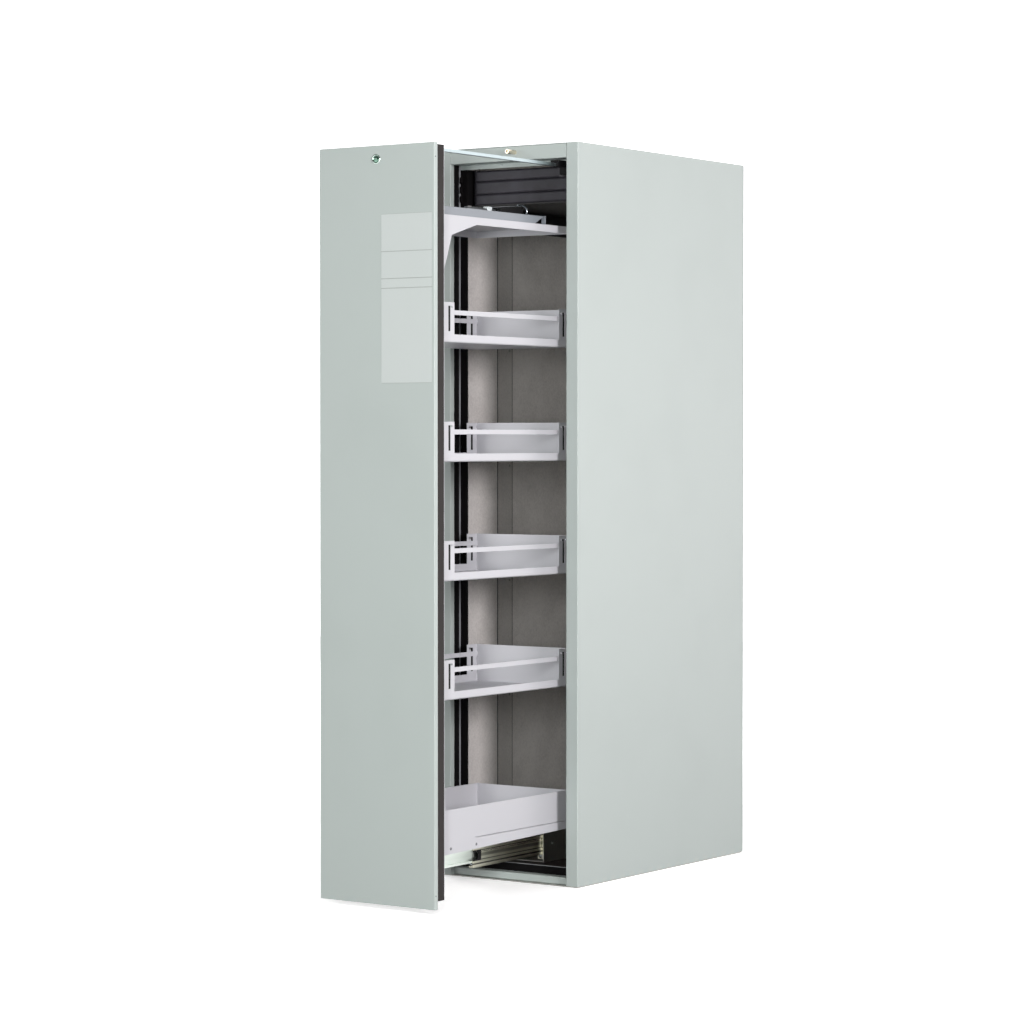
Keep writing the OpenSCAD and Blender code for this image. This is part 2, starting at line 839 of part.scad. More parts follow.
module chassis_side() {
    flange_z = shelf_z - shelf_flange_h;
    upper = [for (s = upper_gusset_shares)
        [frame_y + s[0] * gusset_reach, flange_z - s[1] * gusset_top_h]];
    lower = [for (s = lower_gusset_shares)
        [frame_y + s[0] * gusset_reach, base_z + s[1] * gusset_low_h]];
    color(white_coat) at_travel(1) difference() {
        across([chassis_x - chassis_t, chassis_x]) polygon(concat(
            [[frame_y, base_flange_front_z]], [[frame_y, shelf_z]],
            [[chassis_l, shelf_z]], [[chassis_l, flange_z]],
            upper, lower,
            [[chassis_l, base_z]], [[chassis_l, base_flange_rear_z]]));
        for (d = hole_ins)
            translate([chassis_x - chassis_t - over, frame_y + d, base_z - hole_drop]) rotate([0, 90, 0])
                cylinder(h = chassis_t + 2 * over, r = hole_r);
    }
}

// Base frame: plate and cross flanges between the two sides
module base_frame() {
    x = chassis_x - chassis_t;
    z = base_z - chassis_t;
    notch_x = beam_x + slip;
    color(white_coat) at_travel(1) difference() {
        union() {
            slab([-x, x], [frame_y, chassis_l], [z, base_z]);
            slab([-x, x], [chassis_l - chassis_t, chassis_l], [base_flange_rear_z, base_z]);
        }
        slab([-notch_x, notch_x], [frame_y, chassis_l + over], [base_flange_rear_z - over, z]);
    }
}

module top_shelf() {
    x = chassis_x - chassis_t;
    z = [shelf_z - shelf_flange_h, shelf_z];
    color(white_coat) at_travel(1) {
        slab([-x, x], [frame_y, chassis_l], [shelf_z - chassis_t, shelf_z]);
        slab([-x, x], [chassis_l - chassis_t, chassis_l], z);
    }
}

// Housing of the self-closing gear on the top shelf, with a slanted rear end
module closer_housing() {
    x = chassis_x - housing_step;
    slant = 2 * housing_h;
    color(lining_pale) at_travel(1) difference() {
        across([-x, x]) polygon([[frame_y, shelf_z], [frame_y, shelf_z + housing_h],
            [frame_y + housing_l, shelf_z + housing_h], [frame_y + housing_l - slant, shelf_z]]);
        slab([chassis_t - x, x - chassis_t], [frame_y + chassis_t, frame_y + housing_l - 2 * slant],
            [shelf_z - over, shelf_z + housing_h - chassis_t]);
    }
}

// Slotted box-section uprights that the trays hang on
module front_uprights() {
    x = [chassis_x - chassis_t - upright_w, chassis_x - chassis_t];
    z = [base_z, shelf_z - chassis_t];
    slot_x = (x[0] + x[1]) / 2;
    count = floor((z[1] - z[0] - slot_pitch) / slot_pitch);
    color(white_coat) at_travel(1) both_sides() difference() {
        raise(z) difference() {
            round_area(x, [frame_y, tray_y], bend_r);
            round_area([x[0] + chassis_t, x[1] - chassis_t],
                [frame_y + chassis_t, tray_y - chassis_t], bend_r - chassis_t);
        }
        for (i = [1:count])
            slab([slot_x - slot_w / 2, slot_x + slot_w / 2],
                [tray_y - chassis_t - slip, tray_y + slip],
                [z[0] + i * slot_pitch, z[0] + i * slot_pitch + slot_h]);
    }
}

// Box beam under the base frame, which the inner slide members are fixed to
module chassis_beam() {
    z = [beam_foot_z, base_z - chassis_t];
    color(zinc_dark) at_travel(1) back([plate_y, beam_l]) difference() {
        area([-beam_x, beam_x], z);
        area([beam_t - beam_x, beam_x - beam_t], [z[0] + beam_t, z[1] - beam_t]);
    }
}

// A block with round upright corners and round lower edges
module pan_block(x, y, z, r) {
    intersection() {
        raise(z) round_area([-x, x], y, r);
        back(y) round_area([-x, x], [z[0], z[1] + r], r);
    }
}

// An open pan folded from sheet
module pan(x, y, z, sheet) {
    difference() {
        pan_block(x, y, z, tray_corner_r);
        pan_block(x - sheet, [y[0] + sheet, y[1] - sheet], [z[0] + sheet, z[1] + over],
            tray_corner_r - sheet);
    }
}

// One end of a tray: a cross wall with a slotted ear folded back at each side
module tray_end(z) {
    ear = [z, z + bracket_h];
    slot_y = tray_y + bracket_slot_y;
    slot_z = [z + bracket_slot_w, z + bracket_h - bracket_slot_w];
    slab([-chassis_x, chassis_x], [tray_y, tray_y + chassis_t], ear);
    both_sides() difference() {
        slab([chassis_x - chassis_t, chassis_x], [tray_y, tray_y + bracket_l], ear);
        slab([chassis_x - chassis_t - over, chassis_x + over],
            [slot_y, slot_y + bracket_slot_w], slot_z);
        slab([chassis_x - chassis_t - over, chassis_x + over],
            [slot_y, slot_y + 2 * bracket_slot_w], [slot_z[1] - bracket_slot_w / 2, slot_z[1]]);
    }
}

module tray(i) {
    z = tray_top_z - (i - 1) * tray_pitch;
    turn_y = tray_y + chassis_l;
    color(white_coat) at_travel(1) {
        pan(chassis_x, [tray_y, chassis_l], [z - tray_h, z], chassis_t);
        tray_end(z - chassis_t);
        translate([0, turn_y, 0]) mirror([0, 1, 0]) tray_end(z - chassis_t);
    }
}

// The flat bars that keep the load on each tray
module tray_rails() {
    color(white_coat) at_travel(1) for (i = [1:tray_count]) both_sides() {
        z = tray_top_z - (i - 1) * tray_pitch + rail_z;
        slab([chassis_x - chassis_t - rail_t, chassis_x - chassis_t],
            [tray_y + chassis_t, chassis_l - chassis_t], [z, z + rail_h]);
    }
}

module sump_tray() {
    color(white_coat) at_travel(1)
        pan(chassis_x - chassis_t, [tray_y, chassis_l - chassis_t], [base_z, base_z + sump_h], sump_t);
}

// Upper guide: a bar fixed to the drawer front, with a slider that runs in the head
module guide_bar() {
    color(bright_metal) at_travel(1) {
        slab([guide_x - guide_w / 2, guide_x + guide_w / 2], [core_d, core_d + guide_l],
            [guide_z, guide_z + guide_h]);
        slab([guide_x - guide_w, guide_x + guide_w / 2], [core_d, core_d + chassis_t],
            [guide_z, guide_z + guide_h]);
    }
}

module guide_slider() {
    y = core_d + guide_l;
    x = [guide_x - guide_w, guide_x + guide_w];
    color(seal_black) at_travel(1) {
        slab(x, [y, y + slider_l], [guide_z, guide_z + 2 * guide_h]);
        slab(x, [y + slider_leg_y, y + slider_leg_y + guide_w], [guide_z - slider_leg, guide_z]);
    }
}

// Damper of the self-closing gear, lying on its housing
module soft_close_damper() {
    z = shelf_z + housing_h + damper_r + chassis_t;
    foot_x = [damper_x - damper_foot_w / 2, damper_x + damper_foot_w / 2];
    rod_y = damper_y + damper_l;
    color(bright_metal) at_travel(1) {
        bar_y(damper_x, z, [damper_y, rod_y], damper_r);
        bar_y(damper_x, z, [rod_y, rod_y + damper_rod_l], damper_rod_r);
        for (y = [damper_y, rod_y + damper_rod_l - damper_foot_l])
            slab(foot_x, [y, y + damper_foot_l], [shelf_z + housing_h, z]);
    }
}

left() side_skin();  // side_skin_left
side_skin();  // side_skin_right
top_skin();
rear_skin();
base_pan();
top_rail();
sill_rail();
left() insulation_side();  // insulation_left
insulation_side();  // insulation_right
insulation_roof();
insulation_head();
insulation_head_top();
insulation_rear();
insulation_base();
left() lining_side();  // lining_left
lining_side();  // lining_right
lining_rear();
lining_ceiling();
lining_floor();
head_block();
head_rail();
fire_strips();
edge_trims();
door_gasket();
vent_duct();
exhaust_collar();
slide_channel();
left() slide_fixed();  // slide_fixed_left
slide_fixed();  // slide_fixed_right
release_stud();
ball_cages_outer();
left() slide_middle();  // slide_middle_left
slide_middle();  // slide_middle_right
ball_cages_inner();
front_skin();
front_core();
front_plate();
lock_body();
left() chassis_side();  // chassis_side_left
chassis_side();  // chassis_side_right
base_frame();
top_shelf();
closer_housing();
front_uprights();
chassis_beam();
left() slide_inner();  // slide_inner_left
slide_inner();  // slide_inner_right
tray(1);  // tray_1
tray(2);  // tray_2
tray(3);  // tray_3
tray(4);  // tray_4
tray_rails();
sump_tray();
guide_bar();
guide_slider();
soft_close_damper();
lock_plug();
lock_cam();
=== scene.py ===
"""Looks, small fittings and studio for a tall fire-resistant cabinet with a pull-out drawer.

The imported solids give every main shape. This script dresses them in procedural finishes, adds the
fittings that are too small for the solids, and sets up the floor, the lights and the camera.
Lengths are in metres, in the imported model's own frame: +X right, +Y towards the back wall, +Z up.
mm() and MM turn a length given in millimetres into metres.
"""

import math

import bmesh
import bpy
from bpy.props import FloatProperty, FloatVectorProperty, PointerProperty, StringProperty
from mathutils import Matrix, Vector


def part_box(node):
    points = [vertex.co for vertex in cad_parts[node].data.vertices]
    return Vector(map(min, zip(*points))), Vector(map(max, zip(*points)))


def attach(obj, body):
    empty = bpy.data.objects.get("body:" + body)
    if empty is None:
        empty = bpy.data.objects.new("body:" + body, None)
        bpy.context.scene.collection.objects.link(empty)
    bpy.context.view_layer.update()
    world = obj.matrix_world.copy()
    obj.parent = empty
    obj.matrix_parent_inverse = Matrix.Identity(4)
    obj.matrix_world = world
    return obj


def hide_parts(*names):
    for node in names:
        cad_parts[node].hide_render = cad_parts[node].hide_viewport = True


bl_info = {
    "name": "Fire-Resistant Cabinet Dresser",
    "version": (1, 0, 0),
    "blender": (4, 5, 0),
    "location": "View3D > Sidebar > Cabinet",
    "description": "Finishes, fittings and studio for a storage cabinet with a pull-out drawer",
    "category": "Object",
}

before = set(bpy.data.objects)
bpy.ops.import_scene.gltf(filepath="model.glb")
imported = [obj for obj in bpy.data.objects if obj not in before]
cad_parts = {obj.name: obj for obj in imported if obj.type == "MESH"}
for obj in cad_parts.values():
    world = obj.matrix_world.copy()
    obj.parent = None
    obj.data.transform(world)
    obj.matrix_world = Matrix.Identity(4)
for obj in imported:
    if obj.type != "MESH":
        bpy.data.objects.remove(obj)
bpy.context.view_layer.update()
MM = 0.001


# Sizes and colours


def prop_length(name, text, millimetres):
    """One length a user can change, stored in metres and given here in millimetres."""
    return FloatProperty(
        name=name, description=text, default=millimetres * MM, min=0.0, unit="LENGTH", precision=4
    )


def prop_colour(name, text, value):
    """One finish colour as an sRGB hex string."""
    return StringProperty(name=name, description=text, default=value)


class CabinetFinish(bpy.types.PropertyGroup):
    """Colours of the finishes."""

    casing: prop_colour("Casing", "Powder coat of the casing and drawer front", "#B0BAB6")
    casing_deep: prop_colour("Casing, shaded grain", "Hollows of the coat's grain", "#ACB6B2")
    white: prop_colour("White sheet", "Powder coat of the drawer's chassis and trays", "#C1C2C6")
    housing: prop_colour("Housing", "Powder coat of the closer's housing", "#7F858B")
    board_edge: prop_colour("Board edge", "Coated edge of the drawer front's fire board", "#2F2B2A")
    lining: prop_colour("Lining", "Facing of the lining boards", "#CAC7C3")
    black: prop_colour("Black moulding", "Ribbed head block and air duct", "#2A292E")
    seal: prop_colour("Seal", "Expanding strips, gasket and joints", "#0C0B0C")
    zinc: prop_colour("Zinc", "Galvanised sheet", "#A9AAA5")
    passivated: prop_colour("Passivated zinc", "Fixed and middle slide members", "#CFCDBC")
    bright: prop_colour("Bright zinc", "Exhaust collar, ball cages, small screws", "#C9CFD1")
    film: prop_colour("Film", "Bare film plate on the drawer front", "#BDC5C2")


class CabinetSizes(bpy.types.PropertyGroup):
    """Sizes of the small fittings."""

    film_left: prop_length("Plate, left", "Left edge of the bare film plate", 16)
    film_right: prop_length("Plate, right", "Right edge of the bare film plate", 174)
    film_foot: prop_length("Plate, foot", "Lower edge of the bare film plate", 1325)
    film_top: prop_length("Plate, top", "Upper edge of the bare film plate", 1749)
    film_thick: prop_length("Plate, thickness", "Thickness of the film plate", 0.6)
    screw_head: prop_length("Screw head", "Radius of a casing or lining screw", 3.6)


class CabinetStage(bpy.types.PropertyGroup):
    """Camera, floor and stray light."""

    lens: FloatProperty(name="Lens", description="Focal length", default=107.64, unit="CAMERA")
    camera: FloatVectorProperty(
        name="Camera", description="Place of the camera", default=(4.6559, -7.1582, 1.1846),
        subtype="TRANSLATION", unit="LENGTH"
    )
    heading: FloatProperty(
        name="Heading", description="Turn to the left of the back wall's direction",
        default=math.radians(34.6), unit="ROTATION"
    )
    tilt: FloatProperty(
        name="Tilt", description="Camera tilt above the horizon", default=math.radians(-1.36),
        unit="ROTATION"
    )
    floor: prop_colour("Floor", "Plain pale studio floor", "#FBFBFB")
    air: FloatProperty(name="Air", description="Strength of the studio's stray light", default=0.16)


# Colour and node helpers


def linear(hex_code):
    """sRGB hex to linear RGBA."""
    out = []
    for i in (1, 3, 5):
        c = int(hex_code[i:i + 2], 16) / 255
        out.append(c / 12.92 if c <= 0.04045 else ((c + 0.055) / 1.055) ** 2.4)
    return (*out, 1.0)


def shade(hex_code, factor):
    """A lighter or darker shade of an sRGB hex colour, as hex."""
    parts = [min(255, max(0, round(int(hex_code[i:i + 2], 16) * factor))) for i in (1, 3, 5)]
    return "#%02X%02X%02X" % tuple(parts)


def add(tree, kind, values=None, links=None, **settings):
    """Adds one node, sets its properties and inputs, and links sockets into it."""
    node = tree.nodes.new(kind)
    for key, value in settings.items():
        setattr(node, key, value)
    for key, value in (values or {}).items():
        node.inputs[key].default_value = value
    for key, socket in (links or {}).items():
        tree.links.new(socket, node.inputs[key])
    return node


def stops(ramp, *pairs):
    """Sets a colour ramp's stops from (place, colour) pairs."""
    elements = ramp.color_ramp.elements
    while len(elements) > 1:
        elements.remove(elements[-1])
    for i, (place, colour) in enumerate(pairs):
        stop = elements[0] if i == 0 else elements.new(place)
        stop.position = place
        stop.color = colour


def per_mm(millimetres):
    """Texture scale for a pattern whose features are this many millimetres apart."""
    return 1.0 / (millimetres * MM)


def grey(value):
    """A neutral grey as a linear colour."""
    return (value, value, value, 1.0)


def new_material(name):
    """An empty node material with its shader wired to the output, and object coordinates."""
    material = bpy.data.materials.new(name)
    material.use_nodes = True
    tree = material.node_tree
    tree.nodes.clear()
    out = add(tree, "ShaderNodeOutputMaterial")
    shader = add(tree, "ShaderNodeBsdfPrincipled")
    tree.links.new(shader.outputs["BSDF"], out.inputs["Surface"])
    where = add(tree, "ShaderNodeTexCoord").outputs["Object"]
    return material, tree, shader, where


def wire(tree, shader, colour=None, rough=None, normal=None):
    """Links the worked-out colour, roughness and normal into the shader."""
    for key, socket in (("Base Color", colour), ("Roughness", rough), ("Normal", normal)):
        if socket is not None:
            tree.links.new(socket, shader.inputs[key])


# Finishes


def powder_coat(name, colour, deep, grain_mm, rough, relief):
    """Baked powder coat on sheet steel, and the thinner lacquer and film laid over it: fine
    orange peel that breaks up the highlights, with the faintest cloudiness over a panel.
    The grain is drawn coarser than real, as a true one is too fine to show."""
    material, tree, shader, where = new_material(name)
    shader.inputs["IOR"].default_value = 1.5
    shader.inputs["Coat Weight"].default_value = 0.06
    shader.inputs["Coat Roughness"].default_value = 0.35
    peel = add(tree, "ShaderNodeTexNoise", {"Scale": per_mm(grain_mm), "Detail": 3.0,
               "Roughness": 0.55}, {"Vector": where})
    cloud = add(tree, "ShaderNodeTexNoise", {"Scale": per_mm(260), "Detail": 2.0},
                {"Vector": where})
    both = add(tree, "ShaderNodeMath", {1: 0.5}, {0: peel.outputs["Fac"]}, operation="MULTIPLY")
    total = add(tree, "ShaderNodeMath", links={0: both.outputs[0], 1: cloud.outputs["Fac"]},
                operation="ADD")
    tone = add(tree, "ShaderNodeValToRGB", links={"Fac": total.outputs[0]})
    stops(tone, (0.38, linear(deep)), (0.78, linear(colour)))
    gloss = add(tree, "ShaderNodeMapRange", {"From Min": 0.3, "From Max": 0.7,
                "To Min": rough - 0.05, "To Max": rough + 0.06}, {"Value": peel.outputs["Fac"]})
    bump = add(tree, "ShaderNodeBump", {"Strength": relief, "Distance": 0.05 * MM},
               {"Height": peel.outputs["Fac"]})
    wire(tree, shader, tone.outputs["Color"], gloss.outputs["Result"], bump.outputs["Normal"])
    return material


def zinc_plate(name, colour, spangle_mm, rough):
    """Galvanised sheet: crystal spangle of slightly different tones under faint rolling
    streaks, a little duller where the zinc has weathered."""
    material, tree, shader, where = new_material(name)
    shader.inputs["Metallic"].default_value = 1.0
    spangle = add(tree, "ShaderNodeTexVoronoi", {"Scale": per_mm(spangle_mm)}, {"Vector": where},
                  feature="F1")
    stretch = add(tree, "ShaderNodeMapping", {"Scale": (1.0, 0.04, 1.0)}, {"Vector": where})
    streak = add(tree, "ShaderNodeTexNoise", {"Scale": per_mm(1.6), "Detail": 4.0},
                 {"Vector": stretch.outputs["Vector"]})
    drift = add(tree, "ShaderNodeTexNoise", {"Scale": per_mm(90), "Detail": 2.0},
                {"Vector": where})
    crystal = add(tree, "ShaderNodeMix", {"Factor": 0.3},
                  {"A": spangle.outputs["Color"], "B": streak.outputs["Fac"]}, data_type="RGBA")
    value = add(tree, "ShaderNodeRGBToBW", links={"Color": crystal.outputs["Result"]})
    tone = add(tree, "ShaderNodeValToRGB", links={"Fac": value.outputs["Val"]})
    stops(tone, (0.25, linear(shade(colour, 0.88))), (0.75, linear(colour)))
    final = add(tree, "ShaderNodeMix", {"B": linear(shade(colour, 0.94))},
                {"Factor": drift.outputs["Fac"], "A": tone.outputs["Color"]}, data_type="RGBA")
    gloss = add(tree, "ShaderNodeMapRange", {"From Min": 0.2, "From Max": 0.8,
                "To Min": rough - 0.07, "To Max": rough + 0.1}, {"Value": value.outputs["Val"]})
    bump = add(tree, "ShaderNodeBump", {"Strength": 0.06, "Distance": 0.02 * MM},
               {"Height": value.outputs["Val"]})
    wire(tree, shader, final.outputs["Result"], gloss.outputs["Result"], bump.outputs["Normal"])
    return material


def rolled_metal(name, colour, tint, rough, line_mm=3.0, line_stretch=0.02, relief=0.05):
    """Cold-rolled, drawn or turned metal, plated: smooth and bright, with long faint lines
    along the depth from the rolls or the tool, and a second tint that drifts slowly.
    The lines are drawn much wider than real ones, which are too fine to show."""
    material, tree, shader, where = new_material(name)
    shader.inputs["Metallic"].default_value = 1.0
    stretch = add(tree, "ShaderNodeMapping", {"Scale": (1.0, line_stretch, 1.0)},
                  {"Vector": where})
    lines = add(tree, "ShaderNodeTexNoise", {"Scale": per_mm(line_mm), "Detail": 2.0},
                {"Vector": stretch.outputs["Vector"]})
    drift = add(tree, "ShaderNodeTexNoise", {"Scale": per_mm(140), "Detail": 1.0},
                {"Vector": where})
    tone = add(tree, "ShaderNodeValToRGB", links={"Fac": lines.outputs["Fac"]})
    stops(tone, (0.3, linear(shade(colour, 0.95))), (0.7, linear(colour)))
    final = add(tree, "ShaderNodeMix", {"B": linear(tint)},
                {"Factor": drift.outputs["Fac"], "A": tone.outputs["Color"]}, data_type="RGBA")
    gloss = add(tree, "ShaderNodeMapRange", {"From Min": 0.3, "From Max": 0.7,
                "To Min": rough - 0.04, "To Max": rough + 0.05}, {"Value": lines.outputs["Fac"]})
    bump = add(tree, "ShaderNodeBump", {"Strength": relief, "Distance": 0.02 * MM},
               {"Height": lines.outputs["Fac"]})
    wire(tree, shader, final.outputs["Result"], gloss.outputs["Result"], bump.outputs["Normal"])
    return material


# The slide sections are nearly plain: broad, very long lines with hardly any relief
SLIDE_LINES = {"line_mm": 7.0, "line_stretch": 0.003, "relief": 0.01}


def slide_steel(name, colour, foot_mm, top_mm):
    """Passivated zinc on a cold-rolled slide section: bright and slightly creamy, with darker bands
    painted along its length as the shade of its steps and of the hollow of its web."""
    material = rolled_metal(name, colour, shade(colour, 1.06), 0.3, **SLIDE_LINES)
    tree = material.node_tree
    shader = tree.nodes["Principled BSDF"]
    plain = shader.inputs["Base Color"].links[0].from_socket
    where = add(tree, "ShaderNodeTexCoord").outputs["Object"]
    height = add(tree, "ShaderNodeSeparateXYZ", links={"Vector": where}).outputs["Z"]
    share = add(tree, "ShaderNodeMapRange", {"From Min": foot_mm * MM, "From Max": top_mm * MM},
                {"Value": height})
    # Darker bands of painted shade along the section, set by its height
    bands = add(tree, "ShaderNodeValToRGB", links={"Fac": share.outputs["Result"]})
    light, dull, dark = grey(1.0), grey(0.5), grey(0.12)
    # Painted shade, lower half of the section: share of its height, tone from there; upper half
    # mirrors it
    half = [(0.0, dull), (0.04, light), (0.12, light), (0.135, dark), (0.18, dark), (0.2, light),
            (0.29, light), (0.3, dark), (0.315, dark), (0.33, light), (0.4, light), (0.46, dull)]
    stops(bands, *half, *((1.0 - place, tone) for place, tone in half[::-1]))
    mixed = add(tree, "ShaderNodeMix", {"Factor": 1.0}, {"A": plain, "B": bands.outputs["Color"]},
                data_type="RGBA", blend_type="MULTIPLY")
    tree.links.new(mixed.outputs["Result"], shader.inputs["Base Color"])
    return material


def mineral_board(name, colour, speck_mm, rough, facing=0.0):
    """Pressed mineral fire board: a chalky face with specks and short fibres; the faced
    lining has the same body under a smooth melamine skin."""
    material, tree, shader, where = new_material(name)
    shader.inputs["IOR"].default_value = 1.5
    shader.inputs["Coat Weight"].default_value = facing
    shader.inputs["Coat Roughness"].default_value = 0.3
    shader.inputs["Specular IOR Level"].default_value = 0.15 + facing
    speck = add(tree, "ShaderNodeTexNoise", {"Scale": per_mm(speck_mm), "Detail": 6.0,
                "Roughness": 0.7}, {"Vector": where})
    patch = add(tree, "ShaderNodeTexNoise", {"Scale": per_mm(120), "Detail": 3.0},
                {"Vector": where})
    blend = add(tree, "ShaderNodeMix", {"Factor": 0.4},
                {"A": speck.outputs["Fac"], "B": patch.outputs["Fac"]})
    tone = add(tree, "ShaderNodeValToRGB", links={"Fac": blend.outputs["Result"]})
    stops(tone, (0.3, linear(shade(colour, 0.86))), (0.55, linear(colour)),
          (0.8, linear(shade(colour, 1.07))))
    gloss = add(tree, "ShaderNodeMapRange", {"To Min": rough - 0.08, "To Max": rough + 0.08},
                {"Value": speck.outputs["Fac"]})
    bump = add(tree, "ShaderNodeBump", {"Strength": 0.25, "Distance": 0.08 * MM},
               {"Height": speck.outputs["Fac"]})
    wire(tree, shader, tone.outputs["Color"], gloss.outputs["Result"], bump.outputs["Normal"])
    return material


def moulded(name, colour, grain_mm, rough, relief=0.2, shine=0.5):
    """Moulded plastic or rubber: an even spark-eroded grain, dull, with soft grey highlights
    on its round edges. The grain is drawn coarser than real, so that it shows."""
    material, tree, shader, where = new_material(name)
    shader.inputs["IOR"].default_value = 1.49
    shader.inputs["Specular IOR Level"].default_value = shine
    grain = add(tree, "ShaderNodeTexNoise", {"Scale": per_mm(grain_mm), "Detail": 4.0},
                {"Vector": where})
    dust = add(tree, "ShaderNodeTexNoise", {"Scale": per_mm(40), "Detail": 3.0},
               {"Vector": where})
    tone = add(tree, "ShaderNodeValToRGB", links={"Fac": dust.outputs["Fac"]})
    stops(tone, (0.3, linear(colour)), (0.75, linear(shade(colour, 1.25))))
    gloss = add(tree, "ShaderNodeMapRange", {"To Min": rough - 0.08, "To Max": rough + 0.08},
                {"Value": grain.outputs["Fac"]})
    bump = add(tree, "ShaderNodeBump", {"Strength": relief, "Distance": 0.06 * MM},
               {"Height": grain.outputs["Fac"]})
    wire(tree, shader, tone.outputs["Color"], gloss.outputs["Result"], bump.outputs["Normal"])
    return material


def studio_floor(name, colour):
    """Matt painted studio floor, almost white, with a trace of roller texture. Its glow grows
    from the middle outwards: far off it is plain white, and near by the soft shadow shows."""
    material, tree, shader, where = new_material(name)
    nap = add(tree, "ShaderNodeTexNoise", {"Scale": per_mm(300), "Detail": 2.0},
              {"Vector": where})
    tone = add(tree, "ShaderNodeValToRGB", links={"Fac": nap.outputs["Fac"]})
    stops(tone, (0.2, linear(shade(colour, 0.995))), (0.8, linear(colour)))
    wire(tree, shader, tone.outputs["Color"])
    reach = add(tree, "ShaderNodeVectorMath", links={0: where}, operation="LENGTH")
    spread = add(tree, "ShaderNodeMapRange", {"From Min": 1.3, "From Max": 3.0, "To Min": 0.42,
                 "To Max": 0.95}, {"Value": reach.outputs["Value"]})
    glow = add(tree, "ShaderNodeCombineColor", links={
        key: spread.outputs["Result"] for key in ("Red", "Green", "Blue")})
    tree.links.new(glow.outputs["Color"], shader.inputs["Emission Color"])
    shader.inputs["Emission Strength"].default_value = 1.0
    shader.inputs["Roughness"].default_value = 0.75
    shader.inputs["Specular IOR Level"].default_value = 0.2
    return material


def studio_wall(name, colour):
    """White background paper, evenly lit, so that it shows as plain white."""
    material, tree, shader, where = new_material(name)
    fibre = add(tree, "ShaderNodeTexNoise", {"Scale": per_mm(400), "Detail": 2.0},
                {"Vector": where})
    tone = add(tree, "ShaderNodeValToRGB", links={"Fac": fibre.outputs["Fac"]})
    stops(tone, (0.2, linear(shade(colour, 0.998))), (0.8, linear(colour)))
    wire(tree, shader, tone.outputs["Color"])
    tree.links.new(tone.outputs["Color"], shader.inputs["Emission Color"])
    shader.inputs["Emission Strength"].default_value = 1.4
    shader.inputs["Roughness"].default_value = 0.9
    return material


FINISHES = {}


def make_finishes(props):
    """All finishes of the object, by the name the pieces use."""
    FINISHES.update(
        casing=powder_coat("powder coat, pale mint, fine texture", props.casing,
                           props.casing_deep, grain_mm=1.4, rough=0.42, relief=0.35),
        white=powder_coat("powder coat, white, smooth", props.white, shade(props.white, 0.985),
                          grain_mm=2.2, rough=0.36, relief=0.15),
        housing=powder_coat("powder coat, grey, smooth", props.housing,
                            shade(props.housing, 0.97), grain_mm=2.2, rough=0.38, relief=0.15),
        board=mineral_board("mineral fire board, pressed", "#9E9B96", speck_mm=3.0, rough=0.85),
        board_edge=mineral_board("mineral fire board, dark coated edge", props.board_edge,
                                 speck_mm=2.5, rough=0.62),
        lining=mineral_board("melamine-faced lining board", props.lining, speck_mm=6.0,
                             rough=0.5, facing=0.15),
        # The rear lining is the side linings' board drawn 12% lighter: painted light on the back
        # wall
        lining_pale=mineral_board("melamine-faced lining board, painted lighter",
                                  shade(props.lining, 1.12), speck_mm=6.0, rough=0.5,
                                  facing=0.15),
        lining_strip=mineral_board("melamine-faced cover strip", shade(props.lining, 0.93),
                                   speck_mm=6.0, rough=0.5, facing=0.15),
        floor_lining=mineral_board("lining board, dark floor", "#2A2423", speck_mm=5.0,
                                   rough=0.6),
        black=moulded("moulded block, black", props.black, grain_mm=1.2, rough=0.55),
        black_steel=powder_coat("black paint on sheet", "#1B1B1C", "#151516", grain_mm=1.6,
                                rough=0.5, relief=0.2),
        seal=moulded("expanding seal strip, graphite black", props.seal, grain_mm=3.0,
                     rough=0.85, relief=0.08, shine=0.1),
        edge_metal=powder_coat("silver lacquer on the edge strips", "#94979A", "#8E9194",
                               grain_mm=1.0, rough=0.4, relief=0.1),
        zinc=zinc_plate("galvanised sheet", props.zinc, spangle_mm=9.0, rough=0.42),
        passivated=slide_steel("passivated zinc, cold-rolled slide section",
                               props.passivated, foot_mm=65.0, top_mm=129.0),
        inner_steel=rolled_metal("zinc plate, inner slide section", "#DCE5DF", "#D3DBD2",
                                 rough=0.32, **SLIDE_LINES),
        plain_steel=rolled_metal("plain steel, oiled", "#77787A", "#696B6E", rough=0.4),
        bright=rolled_metal("bright zinc plate", props.bright, "#CCD6DC", rough=0.22),
        # The lock rose's chrome is tinted green: a painted reflection in its dome
        chrome=rolled_metal("polished chrome plate, green painted reflection", "#BBC8C2", "#AEBDB6", rough=0.12),
        film_edge=powder_coat("polyester film plate, cut edge", shade(props.film, 0.82),
                              shade(props.film, 0.8), grain_mm=0.6, rough=0.4, relief=0.06),
        bar_steel=rolled_metal("bright drawn steel bar", "#A3AEB0", "#98A4A7", rough=0.34),
        stud=rolled_metal("nickel-plated turned steel", "#F2EBDD", "#E6D6BC", rough=0.2),
        slider=moulded("glass-filled nylon, black", "#0B0B0C", grain_mm=0.8, rough=0.6,
                       shine=0.2),
        clip=moulded("moulded clip, natural acetal", "#C4CBCB", grain_mm=0.8, rough=0.4,
                     relief=0.08),
        # The lock core's green is a painted reflection as well
        green=rolled_metal("lock core plate, green painted reflection", "#7C9C8D", "#6B8C7C", rough=0.16),
        film=powder_coat("polyester film plate, satin", props.film, shade(props.film, 0.99),
                         grain_mm=0.6, rough=0.3, relief=0.06),
    )


# Mesh helpers

BOTH_SIDES = (-1, 1)
UP, TO_FRONT, TO_BACK = (0, 0, 1), (0, -1, 0), (0, 1, 0)
